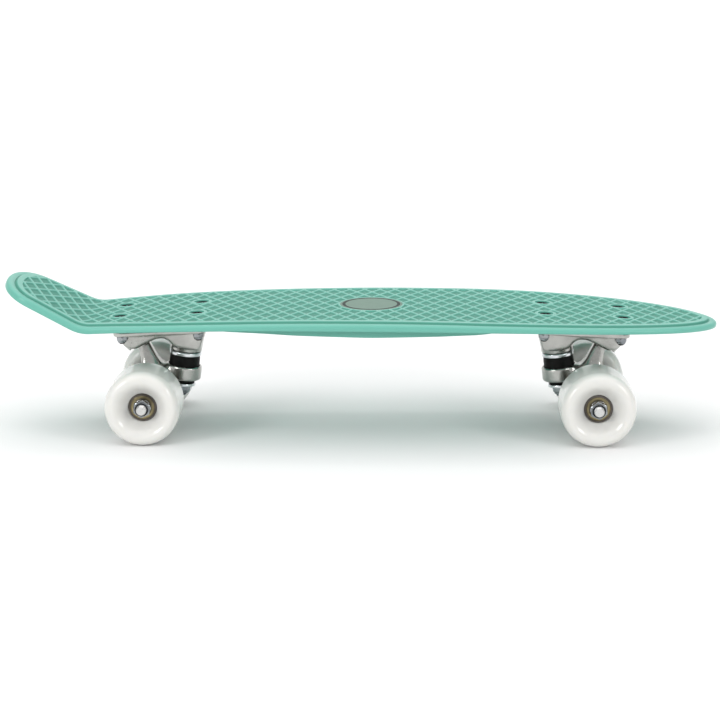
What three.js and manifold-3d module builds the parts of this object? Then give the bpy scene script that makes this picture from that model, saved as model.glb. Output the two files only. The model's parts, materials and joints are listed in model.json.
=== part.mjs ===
// Plastic cruiser skateboard, in millimetres.
// +X runs from the tail to the nose, +Y to the rider's left with the nose ahead, +Z up.
// The origin is on the ground under the middle of the board's length and width.

import * as THREE from 'three';
import { mergeVertices } from 'three/addons/utils/BufferGeometryUtils.js';
import Module from 'manifold-3d';

const wasm = await Module();
wasm.setup();

// Deck. Places along it are measured from the crown of its camber, midway between the trucks.
const deckNoseReach = 276.8;
const deckTailReach = 296.7;
const deckHalfWidth = 75;
const deckWidestPlace = 83;
const camberRadius = 3500;
const tailBendPlace = 219.5;
const tailBendRadius = 24;
const tailAngle = THREE.MathUtils.degToRad(26.6);
const tailRoundLength = 25;
const deckPlateThickness = 4.6;
const rimWidth = 7.4;
const panelStep = 1.4;
const panelStepSlope = 0.6;
const rimEdgeRadius = 2.6;
const rimLipWidth = 4.6;
const rimDepthAtTail = 6.2;
const rimDepthAtTrucks = 4.6;
const rimDepthAtMiddle = 5.8;

// Underside of the deck: truck pads joined by a ribbed belly.
const padThickness = 12.2;
const bellyThickness = 14.4;
const bellyHalfWidth = 62;
const bellyWall = 3.4;
const bellyRibThickness = 2.4;
const bellyRibPitch = 27;
const bellyPocketRows = 7;
const padMarginAlong = 6;
const padMarginAcross = 2;

// Trucks. Each stands on a pad, with its own x outwards and z square to the pad.
const truckReach = 169;
const boltSpanAlong = 61.2;
const boltSpanAcross = 41.3;
const flangeMarginAlong = 6.4;
const flangeMarginAcross = 7.35;
const flangeThickness = 4.2;
const flangeCornerRadius = 7;
const housingWidth = 31;
const housingDepth = 21;
const housingNoseRadius = 12;
const cheekThickness = 5;
const channelWall = 2;
const axleOutward = 11.9;
const axleDrop = 52.9;
const flangeLength = boltSpanAlong + 2 * flangeMarginAlong;
const flangeWidth = boltSpanAcross + 2 * flangeMarginAcross;
const channelWidth = housingWidth - 2 * cheekThickness;
const padLength = flangeLength + 2 * padMarginAlong;
const padHalfWidth = flangeWidth / 2 + padMarginAcross;

// Kingpin stack, measured along the kingpin from the middle of the board-side cup washer.
const kingpinLean = THREE.MathUtils.degToRad(10);
const kingpinInward = 17.1;
const cupWasherDrop = 24.35;
const kingpinRadius = 4.76;
const kingpinHeadWidth = 14.3;
const kingpinHeadHeight = 5.5;
const kingpinHeadSink = 2.5;
const kingpinEndProud = 2.5;
const kingpinBossRadius = 13;
const cupWasherRadius = 12.9;
const cupWasherHeight = 3.2;
const boardBushingRadius = 12.2;
const boardBushingHeight = 11;
const roadBushingRadius = 10.3;
const roadBushingHeight = 6.6;
const roadWasherRadius = 10.7;
const roadWasherHeight = 2.4;
const kingpinNutWidth = 14.3;
const kingpinNutHeight = 6.2;

// Hanger.
const ringRadius = 14.4;
const ringHeight = 11.5;
const ringWeb = 4.2;
const ringBoreRadius = 7.6;
const ringChamfer = 2.4;
const hangerWidth = 79.4;
const hangerBarRadius = 8.3;
const hangerEndRadius = 7.2;
const hangerShoulderHalfWidth = 27;
const pivotStubRadius = 5.3;
const pivotStubLength = 13;

// Pivot cup, in a boss of the baseplate.
const pivotOutward = 21;
const pivotDrop = 13;
const pivotCupRadius = 7.5;
const pivotCupDepth = 9;
const pivotCupFloor = 1.6;
const pivotBossMouthRadius = 11.2;
const pivotBossEndRadius = 9.2;
const pivotBossLength = 10.5;

// Truck bolts and their lock nuts.
const boltEndProud = 1.1;
const boltRadius = 2.4;
const boltHeadRadius = 4.6;
const boltHeadHeight = 2.6;
const boltHeadSink = 0.9;
const boltBossRadius = 6;
const boltDriveWidth = 1.1;
const boltDriveLength = 5;
const boltDriveDepth = 1.4;
const lockNutWidth = 8;
const lockNutHeight = 5;

// Wheels, bearings and axles.
const wheelRadius = 29.5;
const wheelWidth = 45;
const wheelTreadHalfWidth = 13.5;
const wheelLipRadius = 23.5;
const wheelHubLedge = 2.6;
const wheelCoreRadius = 7.4;
const wheelSegments = 24;
const bearingRadius = 11;
const wheelHubRadius = bearingRadius + wheelHubLedge;
const bearingBoreRadius = 4.3;
const bearingWidth = 7;
const bearingSpacing = 10;
const shieldInset = 0.4;
const outerRaceWidth = 1.6;
const innerRaceWidth = 1.8;
const axleRadius = 3.95;
const axleEndProud = 3.7;
const axleEndChamfer = 0.8;
const speedWasherRadius = 6.6;
const speedWasherThickness = 1;
const axleNutWidth = 12.7;
const axleNutHeight = 6;

// Flats round a turned piece, by its size, and steps of curved stretches.
const roundSegments = 20;
const smallSegments = 16;
const holeSegments = 12;
const cornerSegments = 4;
const lipSteps = 3;
const tailRoundSteps = 7;
const tailSteps = 3;
const bendSteps = 4;
const noseSteps = 12;
const flankPitch = 22;
const flankSampleCount = 120;

// Gaps, overruns and the distance within which corners are one.
const seatGap = 0.3;
const cutOverrun = 2;
const mergeDistance = 1e-4;

const plasticMint = { color: 0x7fccba, roughness: 0.42, metalness: 0 };
const castAluminium = { color: 0xb9b8b3, roughness: 0.45, metalness: 0.9 };
const zincSteel = { color: 0xc3c9cc, roughness: 0.28, metalness: 0.95 };
const blackSteel = { color: 0x16181a, roughness: 0.45, metalness: 0.7 };
const bushingUrethane = { color: 0x141414, roughness: 0.5, metalness: 0 };
const wheelUrethane = { color: 0xf0efe9, roughness: 0.25, metalness: 0 };
const bearingSteel = { color: 0x8d7a55, roughness: 0.35, metalness: 0.9 };

const hexCornerShare = 1 / Math.cos(Math.PI / 6);
const ringSeatShare = 0.41;
const stubTipShare = 0.33;
const washerWallShare = 0.33;
const bushingRoundShare = 0.08;
const wheelDishShare = 0.42;
const quarterTurn = Math.PI / 2;

// Gives a geometry only positions, shared corners, no empty faces, and faces that point out.
function tidyGeometry(geometry) {
  const bare = new THREE.BufferGeometry();
  bare.setAttribute('position', geometry.getAttribute('position').clone());
  if (geometry.index) bare.setIndex(geometry.index.clone());
  const merged = mergeVertices(bare, mergeDistance);
  const corners = merged.index.array;
  const faces = [];
  for (let i = 0; i < corners.length; i += 3) {
    const [a, b, c] = [corners[i], corners[i + 1], corners[i + 2]];
    if (a !== b && b !== c && c !== a) faces.push([a, b, c]);
  }
  const turned = signedVolume(merged.getAttribute('position'), faces) < 0;
  merged.setIndex(faces.flatMap(([a, b, c]) => (turned ? [a, c, b] : [a, b, c])));
  return merged;
}

function signedVolume(positions, faces) {
  const [a, b, c] = [new THREE.Vector3(), new THREE.Vector3(), new THREE.Vector3()];
  let sum = 0;
  for (const face of faces) {
    a.fromBufferAttribute(positions, face[0]);
    b.fromBufferAttribute(positions, face[1]);
    c.fromBufferAttribute(positions, face[2]);
    sum += a.dot(b.cross(c));
  }
  return sum / 6;
}

function toSolid(geometry) {
  const tidy = tidyGeometry(geometry);
  return new wasm.Manifold(new wasm.Mesh({
    numProp: 3,
    vertProperties: new Float32Array(tidy.getAttribute('position').array),
    triVerts: new Uint32Array(tidy.index.array),
  }));
}

function toGeometry(solid) {
  const mesh = solid.getMesh();
  const geometry = new THREE.BufferGeometry();
  geometry.setAttribute('position', new THREE.BufferAttribute(new Float32Array(mesh.vertProperties), 3));
  geometry.setIndex(new THREE.BufferAttribute(new Uint32Array(mesh.triVerts), 1));
  return geometry;
}

function joined(...geometries) {
  return geometries.map(toSolid).reduce((sum, next) => sum.add(next));
}

function cutAway(body, ...geometries) {
  return geometries.map(toSolid).reduce((rest, tool) => rest.subtract(tool), body);
}

// Turns a profile of [radius, height] points about the z axis. A profile off the axis closes on itself.
function turned(profile, segments, startAngle = 0) {
  const onAxis = profile[0][0] === 0 && profile[profile.length - 1][0] === 0;
  const points = (onAxis ? profile : [...profile, profile[0]]).map(([r, h]) => new THREE.Vector2(r, h));
  return new THREE.LatheGeometry(points, segments, startAngle).rotateX(quarterTurn);
}

function disc(radius, low, high, segments = roundSegments) {
  return turned([[0, low], [radius, low], [radius, high], [0, high]], segments);
}

function hexBar(acrossFlats, low, high) {
  return disc((acrossFlats / 2) * hexCornerShare, low, high, 6);
}

function shapeOf(points) {
  return new THREE.Shape(points.map(([x, y]) => new THREE.Vector2(x, y)));
}

// Extrudes an outline drawn in x and z by a width across y, centred on y = 0.
function sideProfile(points, width) {
  return new THREE.ExtrudeGeometry(shapeOf(points), { depth: width, bevelEnabled: false, steps: 1 })
    .translate(0, 0, -width / 2)
    .rotateX(quarterTurn);
}

function block(lengthX, widthY, heightZ, x, y, z) {
  return new THREE.BoxGeometry(lengthX, widthY, heightZ).translate(x, y, z);
}

// The deck's surface. A place is a distance along the deck, one across it and one square to it.
const bendStartAngle = tailBendPlace / camberRadius;
const bendTurn = tailAngle + bendStartAngle;
const bendLength = tailBendRadius * bendTurn;
const camberDrop = (along) => camberRadius * (1 - Math.cos(along / camberRadius));

// The crown stands as high as the wheels, trucks and pads under it make it.
const truckSlope = truckReach / camberRadius;
const crownHeight = wheelRadius + (axleDrop + padThickness) * Math.cos(truckSlope)
  + axleOutward * Math.sin(truckSlope) + camberDrop(truckReach);

function deckPoint(along, across, square) {
  let x = camberRadius * Math.sin(along / camberRadius);
  let z = crownHeight - camberDrop(along);
  let slope = -along / camberRadius;
  const past = -tailBendPlace - along;
  if (past > 0) {
    const inBend = Math.min(past, bendLength);
    slope = bendStartAngle - inBend / tailBendRadius;
    x = camberRadius * Math.sin(-bendStartAngle)
      - tailBendRadius * (Math.sin(bendStartAngle) - Math.sin(slope));
    z = crownHeight - camberDrop(tailBendPlace)
      - tailBendRadius * (Math.cos(slope) - Math.cos(bendStartAngle));
    x -= (past - inBend) * Math.cos(slope);
    z -= (past - inBend) * Math.sin(slope);
  }
  return new THREE.Vector3(x - square * Math.sin(slope), across, z + square * Math.cos(slope));
}

// Half width of the deck behind its widest place, as shares of the tail's reach and the half width.
const tailWaistShare = 0.657;
const tailWaistWidthShare = 0.79;
const tailTipWidthShare = 0.56;
const tailRoundPowerShare = 2.2;
const flankShares = [
  [-deckWidestPlace / deckTailReach, 1], [0, 0.98], [0.2, 0.951], [0.4, 0.915], [0.553, 0.862],
  [tailWaistShare, tailWaistWidthShare],
];
const flankCurve = new THREE.SplineCurve(flankShares.map(([x, y]) => new THREE.Vector2(x, y)));
const flankSamples = flankCurve.getPoints(flankSampleCount);

function flankHalfWidth(along) {
  const share = -along / deckTailReach;
  if (share >= tailWaistShare) {
    const toTip = (share - tailWaistShare) / (1 - tailWaistShare);
    return deckHalfWidth * THREE.MathUtils.lerp(tailWaistWidthShare, tailTipWidthShare, toTip);
  }
  const next = Math.max(flankSamples.findIndex((point) => point.x >= share), 1);
  const [a, b] = [flankSamples[next - 1], flankSamples[next]];
  return deckHalfWidth * THREE.MathUtils.mapLinear(share, a.x, b.x, a.y, b.y);
}

// Half of the outline, from the tail tip to the nose tip, as [along, half width].
function deckOutline() {
  const stations = [];
  for (let i = 0; i <= tailRoundSteps; i++) {
    const angle = (i / tailRoundSteps) * quarterTurn;
    const along = -deckTailReach + tailRoundLength * (1 - Math.cos(angle));
    const round = (1 - Math.cos(angle) ** tailRoundPowerShare) ** (1 / tailRoundPowerShare);
    stations.push([along, flankHalfWidth(along) * round]);
  }
  const addStretch = (from, to, steps) => {
    for (let i = 1; i <= steps; i++) {
      const along = THREE.MathUtils.lerp(from, to, i / steps);
      stations.push([along, flankHalfWidth(along)]);
    }
  };
  const bendEnd = -tailBendPlace - bendLength;
  addStretch(-deckTailReach + tailRoundLength, bendEnd, tailSteps);
  addStretch(bendEnd, -tailBendPlace, bendSteps);
  const flankLength = deckWidestPlace + tailBendPlace;
  addStretch(-tailBendPlace, deckWidestPlace, Math.ceil(flankLength / flankPitch));
  for (let i = 1; i <= noseSteps; i++) {
    const angle = (i / noseSteps) * quarterTurn;
    const along = deckWidestPlace + (deckNoseReach - deckWidestPlace) * Math.sin(angle);
    stations.push([along, i === noseSteps ? 0 : deckHalfWidth * Math.cos(angle)]);
  }
  return stations;
}

// The rim is deepest at the kicked tail and at mid-board.
function rimDepthAt(along) {
  const fromTrucks = Math.abs(along) - truckReach;
  if (fromTrucks < 0) {
    const share = Math.cos((quarterTurn * along) / truckReach) ** 2;
    return THREE.MathUtils.lerp(rimDepthAtTrucks, rimDepthAtMiddle, share);
  }
  const tailRun = deckTailReach - truckReach - tailRoundLength;
  const tailShare = along > 0 ? 0 : Math.min(fromTrucks / tailRun, 1);
  return THREE.MathUtils.lerp(rimDepthAtTrucks, rimDepthAtTail, tailShare);
}

// Closed loop of places: the outline and its mirror image, moved in by an inset.
function insetLoop(stations, inset) {
  const last = stations.length - 1;
  const mirrored = stations.slice(1, last).reverse().map(([along, half]) => [along, -half]);
  const loop = [...stations, ...mirrored];
  return loop.map(([along, across], i) => {
    const before = loop[(i + loop.length - 1) % loop.length];
    const after = loop[(i + 1) % loop.length];
    const run = Math.hypot(after[0] - before[0], after[1] - before[1]);
    const moveAlong = (inset * (after[1] - before[1])) / run;
    const moveAcross = (-inset * (after[0] - before[0])) / run;
    return [along + moveAlong, across + moveAcross];
  });
}

// Joins rings of points into one shell, and closes the first and last ring straight across.
function shellOfRings(rings) {
  const count = rings[0].length;
  const positions = rings.flat().flatMap((point) => [point.x, point.y, point.z]);
  const faces = [];
  for (let r = 0; r + 1 < rings.length; r++) {
    for (let i = 0; i < count; i++) {
      const j = (i + 1) % count;
      const [a, b, c, d] = [r * count + i, r * count + j, (r + 1) * count + j, (r + 1) * count + i];
      faces.push([a, b, c], [a, c, d]);
    }
  }
  const half = count / 2;
  for (const [start, flip] of [[0, true], [(rings.length - 1) * count, false]]) {
    for (let i = 0; i < half; i++) {
      const [a, b] = [start + i, start + i + 1];
      const [c, d] = [start + ((count - i - 1) % count), start + ((count - i) % count)];
      for (const face of [[a, b, c], [a, c, d]]) faces.push(flip ? face.reverse() : face);
    }
  }
  const geometry = new THREE.BufferGeometry();
  geometry.setAttribute('position', new THREE.Float32BufferAttribute(positions, 3));
  geometry.setIndex(faces.flat());
  return geometry;
}

function deckPlate() {
  const stations = deckOutline();
  const roundShare = 1 - Math.SQRT1_2;
  const rimEnd = (along) => -panelStep - rimDepthAt(along);
  const sections = [
    [rimWidth, () => 0],
    [rimWidth - panelStepSlope, () => -panelStep],
    [rimEdgeRadius, () => -panelStep],
    [rimEdgeRadius * roundShare, () => -panelStep - rimEdgeRadius * roundShare],
    [0, () => -panelStep - rimEdgeRadius],
    [0, (along) => rimEnd(along) + panelStepSlope],
    [panelStepSlope, rimEnd],
    [rimLipWidth, rimEnd],
    [rimLipWidth + panelStepSlope, () => -deckPlateThickness],
  ];
  return shellOfRings(sections.map(([inset, square]) => (
    insetLoop(stations, inset).map(([along, across]) => deckPoint(along, across, square(along)))
  )));
}

// Half width of the belly along the board, as shares of half its length and of its half width.
const padWidthShare = padHalfWidth / bellyHalfWidth;
const padCornerShare = 0.91 * padWidthShare;
const padEndShare = 0.62 * padWidthShare;
const bellyShares = [
  [-1, padEndShare], [-0.97, padCornerShare], [-0.9, padWidthShare], [-0.7, padWidthShare], [-0.61, 0.58],
  [-0.53, 0.71], [-0.28, 0.92], [0, 1], [0.26, 0.95], [0.4, 0.87], [0.46, 0.76], [0.5, 0.58],
  [0.54, padWidthShare], [0.9, padWidthShare], [0.97, padCornerShare], [1, padEndShare],
];
const bellyHalfLength = truckReach + padLength / 2;

function bellyHalfWidthAt(along) {
  const share = along / bellyHalfLength;
  const next = Math.max(bellyShares.findIndex(([place]) => place >= share), 1);
  const [a, b] = [bellyShares[next - 1], bellyShares[next]];
  return bellyHalfWidth * THREE.MathUtils.mapLinear(share, a[0], b[0], a[1], b[1]);
}

function bellyDepthAt(along) {
  const inner = truckReach - padLength / 2;
  const share = Math.abs(along) > inner ? 0 : Math.cos((quarterTurn * along) / inner) ** 2;
  return THREE.MathUtils.lerp(padThickness, bellyThickness, share);
}

// A prism that follows the deck, with four-sided sections [along, low side, high side, bottom, top].
function bentPrism(sections) {
  const rings = sections.map(([along, right, left, bottom, top]) => [
    deckPoint(along, right, bottom),
    deckPoint(along, left, bottom),
    deckPoint(along, left, top),
    deckPoint(along, right, top),
  ]);
  return shellOfRings(rings);
}

function belly() {
  const top = -deckPlateThickness / 2;
  return bentPrism(bellyShares.map(([share]) => {
    const along = share * bellyHalfLength;
    const half = bellyHalfWidthAt(along);
    return [along, -half, half, -bellyDepthAt(along), top];
  }));
}

// Open pockets between the ribs of the belly, on both sides of a middle rib.
function bellyPockets() {
  const pockets = [];
  const halfRib = bellyRibThickness / 2;
  const middleRow = (bellyPocketRows - 1) / 2;
  for (let row = 0; row < bellyPocketRows; row++) {
    const start = (row - middleRow - 0.5) * bellyRibPitch + halfRib;
    const end = start + bellyRibPitch - bellyRibThickness;
    const reach = Math.min(bellyHalfWidthAt(start), bellyHalfWidthAt(end)) - bellyWall;
    const parting = bellyHalfWidth / 2;
    for (const side of [-1, 1]) {
      pockets.push(pocket(start, end, side, () => halfRib, () => parting - halfRib));
      if (reach > parting + bellyWall) {
        const outer = (along) => bellyHalfWidthAt(along) - bellyWall;
        pockets.push(pocket(start, end, side, () => parting + halfRib, outer));
      }
    }
  }
  return pockets;
}

function pocket(start, end, side, innerAt, outerAt) {
  const bottom = -bellyThickness - cutOverrun;
  const stations = [start, (start + end) / 2, end];
  return bentPrism(stations.map((along) => {
    const edges = [side * innerAt(along), side * outerAt(along)].sort((a, b) => a - b);
    return [along, ...edges, bottom, -deckPlateThickness];
  }));
}

// Corners of the bolt pattern, in the truck's own x and y.
const boltCorners = [
  ['outer_left', boltSpanAlong / 2, boltSpanAcross / 2],
  ['outer_right', boltSpanAlong / 2, -boltSpanAcross / 2],
  ['inner_left', -boltSpanAlong / 2, boltSpanAcross / 2],
  ['inner_right', -boltSpanAlong / 2, -boltSpanAcross / 2],
];
const boltTop = padThickness - boltHeadSink;
const lockNutTop = -2 * seatGap - flangeThickness;
const lockNutBottom = lockNutTop - lockNutHeight;
const boltBottom = lockNutBottom - boltEndProud;

function boltHole() {
  const radius = boltRadius + seatGap;
  const headRadius = boltHeadRadius + seatGap;
  const headBottom = boltTop - boltHeadHeight - seatGap;
  const top = padThickness + cutOverrun;
  return turned([
    [0, -cutOverrun], [radius, -cutOverrun], [radius, headBottom], [headRadius, boltTop - seatGap],
    [headRadius, boltTop], [boltBossRadius, boltTop], [boltBossRadius, top], [0, top],
  ], smallSegments);
}

// A box that leaves the pad flat where the truck's flange meets it.
function padCut() {
  const length = padLength + cutOverrun;
  return block(length, 2 * bellyHalfWidth, padThickness, cutOverrun / 2, 0, -padThickness / 2);
}

// The frame of a truck: side is 1 at the nose and -1 at the tail.
function truckMatrix(side) {
  const foot = deckPoint(side * truckReach, 0, -padThickness);
  const tilt = new THREE.Matrix4().makeRotationY(truckSlope);
  const turn = new THREE.Matrix4().makeRotationZ(side > 0 ? 0 : Math.PI);
  return new THREE.Matrix4().makeTranslation(foot.x, foot.y, foot.z).multiply(turn).multiply(tilt);
}

function deck() {
  let body = joined(deckPlate(), belly());
  body = cutAway(body, ...bellyPockets());
  for (const side of [-1, 1]) {
    const place = truckMatrix(side);
    body = cutAway(body, padCut().applyMatrix4(place));
    for (const [, x, y] of boltCorners) {
      body = cutAway(body, boltHole().translate(x, y, 0).applyMatrix4(place));
    }
  }
  return toGeometry(body);
}

// Places things made about the z axis onto the kingpin, with z up along it.
function onKingpin(geometry) {
  return geometry.rotateY(-kingpinLean).translate(-kingpinInward, 0, -cupWasherDrop);
}

// Levels of the kingpin stack, as heights along the kingpin above the board-side cup washer's middle.
const kingpinHeadRise = cupWasherDrop / Math.cos(kingpinLean) - kingpinHeadSink;
const cupWasherTop = cupWasherHeight / 2;
const kingpinSeat = cupWasherTop + seatGap;
const boardBushingTop = -cupWasherTop - seatGap;
const boardBushingBottom = boardBushingTop - boardBushingHeight;
const ringTop = boardBushingBottom - seatGap + (ringHeight - ringWeb) * ringSeatShare;
const ringBottom = ringTop - ringHeight;
const webTop = boardBushingBottom - seatGap;
const webBottom = webTop - ringWeb;
const roadBushingTop = webBottom - seatGap;
const roadBushingBottom = roadBushingTop - roadBushingHeight;
const roadWasherTop = roadBushingBottom - seatGap;
const roadWasherBottom = roadWasherTop - roadWasherHeight;
const kingpinNutTop = roadWasherBottom - seatGap;
const kingpinNutBottom = kingpinNutTop - kingpinNutHeight;
const kingpinBottom = kingpinNutBottom - kingpinEndProud;
const ringMiddle = (webTop + webBottom) / 2;

// The steering axis runs from the pivot's mouth to the middle of the hanger's ring.
const pivotPlace = new THREE.Vector3(pivotOutward, 0, -pivotDrop);
const ringPlace = new THREE.Vector3(
  -kingpinInward - ringMiddle * Math.sin(kingpinLean),
  0,
  -cupWasherDrop + ringMiddle * Math.cos(kingpinLean),
);
const steerDirection = pivotPlace.clone().sub(ringPlace).normalize();
const steerLean = Math.atan2(steerDirection.x, steerDirection.z);

// Places things made about the z axis onto the steering axis, with z into the pivot's boss.
function onPivot(geometry) {
  return geometry.rotateY(steerLean).translate(pivotPlace.x, pivotPlace.y, pivotPlace.z);
}

function roundedPlate(length, width, radius, low, high) {
  const [x, y] = [length / 2, width / 2];
  const shape = new THREE.Shape();
  shape.moveTo(-x + radius, -y);
  shape.lineTo(x - radius, -y);
  shape.absarc(x - radius, -y + radius, radius, -quarterTurn, 0);
  shape.absarc(x - radius, y - radius, radius, 0, quarterTurn);
  shape.absarc(-x + radius, y - radius, radius, quarterTurn, Math.PI);
  shape.absarc(-x + radius, -y + radius, radius, Math.PI, Math.PI + quarterTurn);
  const options = { depth: high - low, bevelEnabled: false, steps: 1, curveSegments: cornerSegments };
  return new THREE.ExtrudeGeometry(shape, options).translate(0, 0, low);
}

// Side view of the housing under the flange, as shares of half the flange's length and of its depth.
const housingShares = [
  [-0.97, -0.05], [0.97, -0.05], [0.96, -0.2], [0.83, -0.72], [0.6, -0.86], [0.36, -0.66], [0.15, -0.49],
  [0.05, -0.46], [-0.06, -0.47], [-0.16, -0.58], [-0.24, -0.78], [-0.31, -0.85], [-0.81, -1],
  [-0.97, -0.24],
];

function housing() {
  const halfLength = flangeLength / 2;
  const side = housingShares.map(([x, z]) => [x * halfLength, z * housingDepth]);
  const body = toSolid(sideProfile(side, housingWidth));
  const plan = roundedPlate(flangeLength, housingWidth, housingNoseRadius, -2 * housingDepth, 0);
  return body.intersect(toSolid(plan));
}

function baseplate() {
  const top = -seatGap;
  const bottom = top - flangeThickness;
  const flange = roundedPlate(flangeLength, flangeWidth, flangeCornerRadius, bottom, top);
  const kingpinBoss = onKingpin(disc(kingpinBossRadius, kingpinSeat, kingpinHeadRise));
  const pivotBoss = onPivot(turned([
    [0, 0], [pivotBossMouthRadius, 0], [pivotBossEndRadius, pivotBossLength], [0, pivotBossLength],
  ], roundSegments));
  let body = joined(flange, kingpinBoss, pivotBoss).add(housing());
  const above = block(2 * flangeLength, 2 * flangeWidth, flangeLength, 0, 0, top + flangeLength / 2);
  const channelStart = -kingpinInward + kingpinBossRadius + channelWall;
  const channelEnd = pivotOutward - pivotDrop * Math.tan(steerLean) / 2;
  const channel = sideProfile([
    [channelStart, bottom], [channelEnd, bottom], [pivotOutward, -pivotDrop],
    [pivotOutward + housingDepth / 2, -2 * housingDepth], [channelStart, -2 * housingDepth],
  ], channelWidth);
  const cupBore = onPivot(disc(pivotCupRadius + seatGap, -cutOverrun, pivotCupDepth + seatGap));
  const pinHole = onKingpin(disc(kingpinRadius + seatGap, -cutOverrun, kingpinHeadRise));
  const headBottom = kingpinHeadRise - kingpinHeadHeight;
  const pocketWidth = kingpinHeadWidth + 2 * seatGap;
  const pocketTop = cupWasherDrop + cutOverrun;
  const headPocket = onKingpin(hexBar(pocketWidth, headBottom - seatGap, pocketTop));
  body = cutAway(body, above, channel, cupBore, pinHole, headPocket);
  for (const [, x, y] of boltCorners) {
    body = cutAway(body, disc(boltRadius + seatGap, -flangeLength, 0, holeSegments).translate(x, y, 0));
    const nutRoom = (lockNutWidth / 2) * hexCornerShare + seatGap;
    body = cutAway(body, disc(nutRoom, -flangeLength, bottom, holeSegments).translate(x, y, 0));
  }
  return toGeometry(body);
}

function kingpin() {
  const headBottom = kingpinHeadRise - kingpinHeadHeight;
  const shank = disc(kingpinRadius, kingpinBottom, headBottom, smallSegments);
  const head = hexBar(kingpinHeadWidth, headBottom, kingpinHeadRise);
  return onKingpin(toGeometry(joined(shank, head)));
}

function pivotCup() {
  const bore = pivotStubRadius + seatGap;
  return onPivot(turned([
    [0, pivotCupDepth], [pivotCupRadius, pivotCupDepth], [pivotCupRadius, 0], [bore, 0],
    [bore, pivotCupDepth - pivotCupFloor], [0, pivotCupDepth - pivotCupFloor],
  ], smallSegments));
}

// A washer with a turned-up rim round its bushing. Height 0 is at its seat, and the rim points down.
function cupWasher(radius, height) {
  const bore = kingpinRadius + seatGap;
  const wall = height * washerWallShare;
  return [[bore, 0], [bore, -height], [radius - 2 * wall, -height], [radius, -height + wall / 2],
    [radius, -wall], [radius - wall, 0]];
}

function boardCupWasher() {
  const shift = ([r, h]) => [r, h + cupWasherTop];
  return onKingpin(turned(cupWasher(cupWasherRadius, cupWasherHeight).map(shift), roundSegments));
}

function roadCupWasher() {
  const shift = ([r, h]) => [r, h + roadWasherTop];
  return onKingpin(turned(cupWasher(roadWasherRadius, roadWasherHeight).map(shift), roundSegments));
}

function bushing(radius, low, high) {
  const bore = kingpinRadius + seatGap;
  const round = radius * bushingRoundShare;
  return onKingpin(turned([
    [bore, low], [radius - round, low], [radius, low + round], [radius, high - round],
    [radius - round, high], [bore, high],
  ], roundSegments));
}

function hexNut(width, boreRadius, low, high) {
  const body = toSolid(hexBar(width, low, high));
  return toGeometry(cutAway(body, disc(boreRadius, low - cutOverrun, high + cutOverrun, holeSegments)));
}

// Side view of the hanger's stem where it leaves the stub, from the pivot's mouth, as shares of the stub's
// radius, and of its yoke, as shares of the distances from the truck's middle to the axle.
const stemTopShares = [[-0.1, -0.64], [-1.67, -0.04]];
const yokeShares = [
  [0.42, -0.53], [0.1, -0.62], [-0.5, -0.62], [-0.5, -0.8], [0.17, -0.88], [0.36, -1.05], [0.6, -1.12],
  [1.05, -1.16], [1.6, -1.07], [1.7, -0.9], [1.58, -0.55],
];
// Front view of the hanger's left half, as shares of its shoulder's half width and of the axle's drop.
const hangerFrontShares = [
  [0.19, -0.2], [0.21, -0.36], [0.3, -0.58], [0.52, -0.8], [0.86, -0.9], [1, -0.96], [1, -1.08],
  [0.88, -1.2],
];

function hangerBody() {
  const stemTop = stemTopShares.map(([x, z]) => (
    [pivotOutward + x * pivotStubRadius, -pivotDrop + z * pivotStubRadius]
  ));
  const side = [...stemTop, ...yokeShares.map(([x, z]) => [x * axleOutward, z * axleDrop])];
  const left = hangerFrontShares.map(([y, z]) => [y * hangerShoulderHalfWidth, z * axleDrop]);
  const right = left.map(([y, z]) => [-y, z]).reverse();
  const front = sideProfile([...left, ...right], 2 * axleDrop).rotateZ(quarterTurn);
  return toSolid(sideProfile(side, 2 * hangerShoulderHalfWidth)).intersect(toSolid(front));
}

function hanger() {
  const ring = onKingpin(turned([
    [0, ringTop], [ringRadius, ringTop], [ringRadius, ringBottom + ringChamfer],
    [ringRadius - ringChamfer, ringBottom], [0, ringBottom],
  ], roundSegments));
  const half = hangerWidth / 2;
  const bar = turned([
    [0, -half], [hangerEndRadius, -half], [hangerBarRadius, -hangerShoulderHalfWidth],
    [hangerBarRadius, hangerShoulderHalfWidth], [hangerEndRadius, half], [0, half],
  ], smallSegments).rotateX(quarterTurn).translate(axleOutward, 0, -axleDrop);
  const tipRound = pivotStubRadius * stubTipShare;
  const stubTip = pivotCupDepth - pivotCupFloor - seatGap;
  const stub = onPivot(turned([
    [0, stubTip - pivotStubLength], [pivotStubRadius, stubTip - pivotStubLength],
    [pivotStubRadius, stubTip - tipRound], [pivotStubRadius - tipRound, stubTip], [0, stubTip],
  ], smallSegments));
  const body = joined(ring, bar, stub).add(hangerBody());
  const axleBore = disc(axleRadius + seatGap, -half - cutOverrun, half + cutOverrun, holeSegments)
    .rotateX(quarterTurn)
    .translate(axleOutward, 0, -axleDrop);
  const boardSeat = onKingpin(disc(boardBushingRadius + seatGap, webTop, ringTop + cutOverrun));
  const roadSeat = onKingpin(disc(roadBushingRadius + seatGap, ringBottom - cutOverrun, webBottom));
  const ringBore = onKingpin(disc(ringBoreRadius, ringBottom - cutOverrun, ringTop + cutOverrun));
  return toGeometry(cutAway(body, axleBore, boardSeat, roadSeat, ringBore));
}

// Axial places along the axle, from the middle of the board outwards.
const innerBearingInner = hangerWidth / 2 + speedWasherThickness + seatGap;
const wheelMiddle = innerBearingInner + bearingWidth + bearingSpacing / 2;
const outerBearingOuter = wheelMiddle + bearingSpacing / 2 + bearingWidth;
const speedWasherInner = outerBearingOuter + seatGap;
const axleNutInner = speedWasherInner + speedWasherThickness + seatGap;
const axleHalfLength = axleNutInner + axleNutHeight + axleEndProud;

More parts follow.
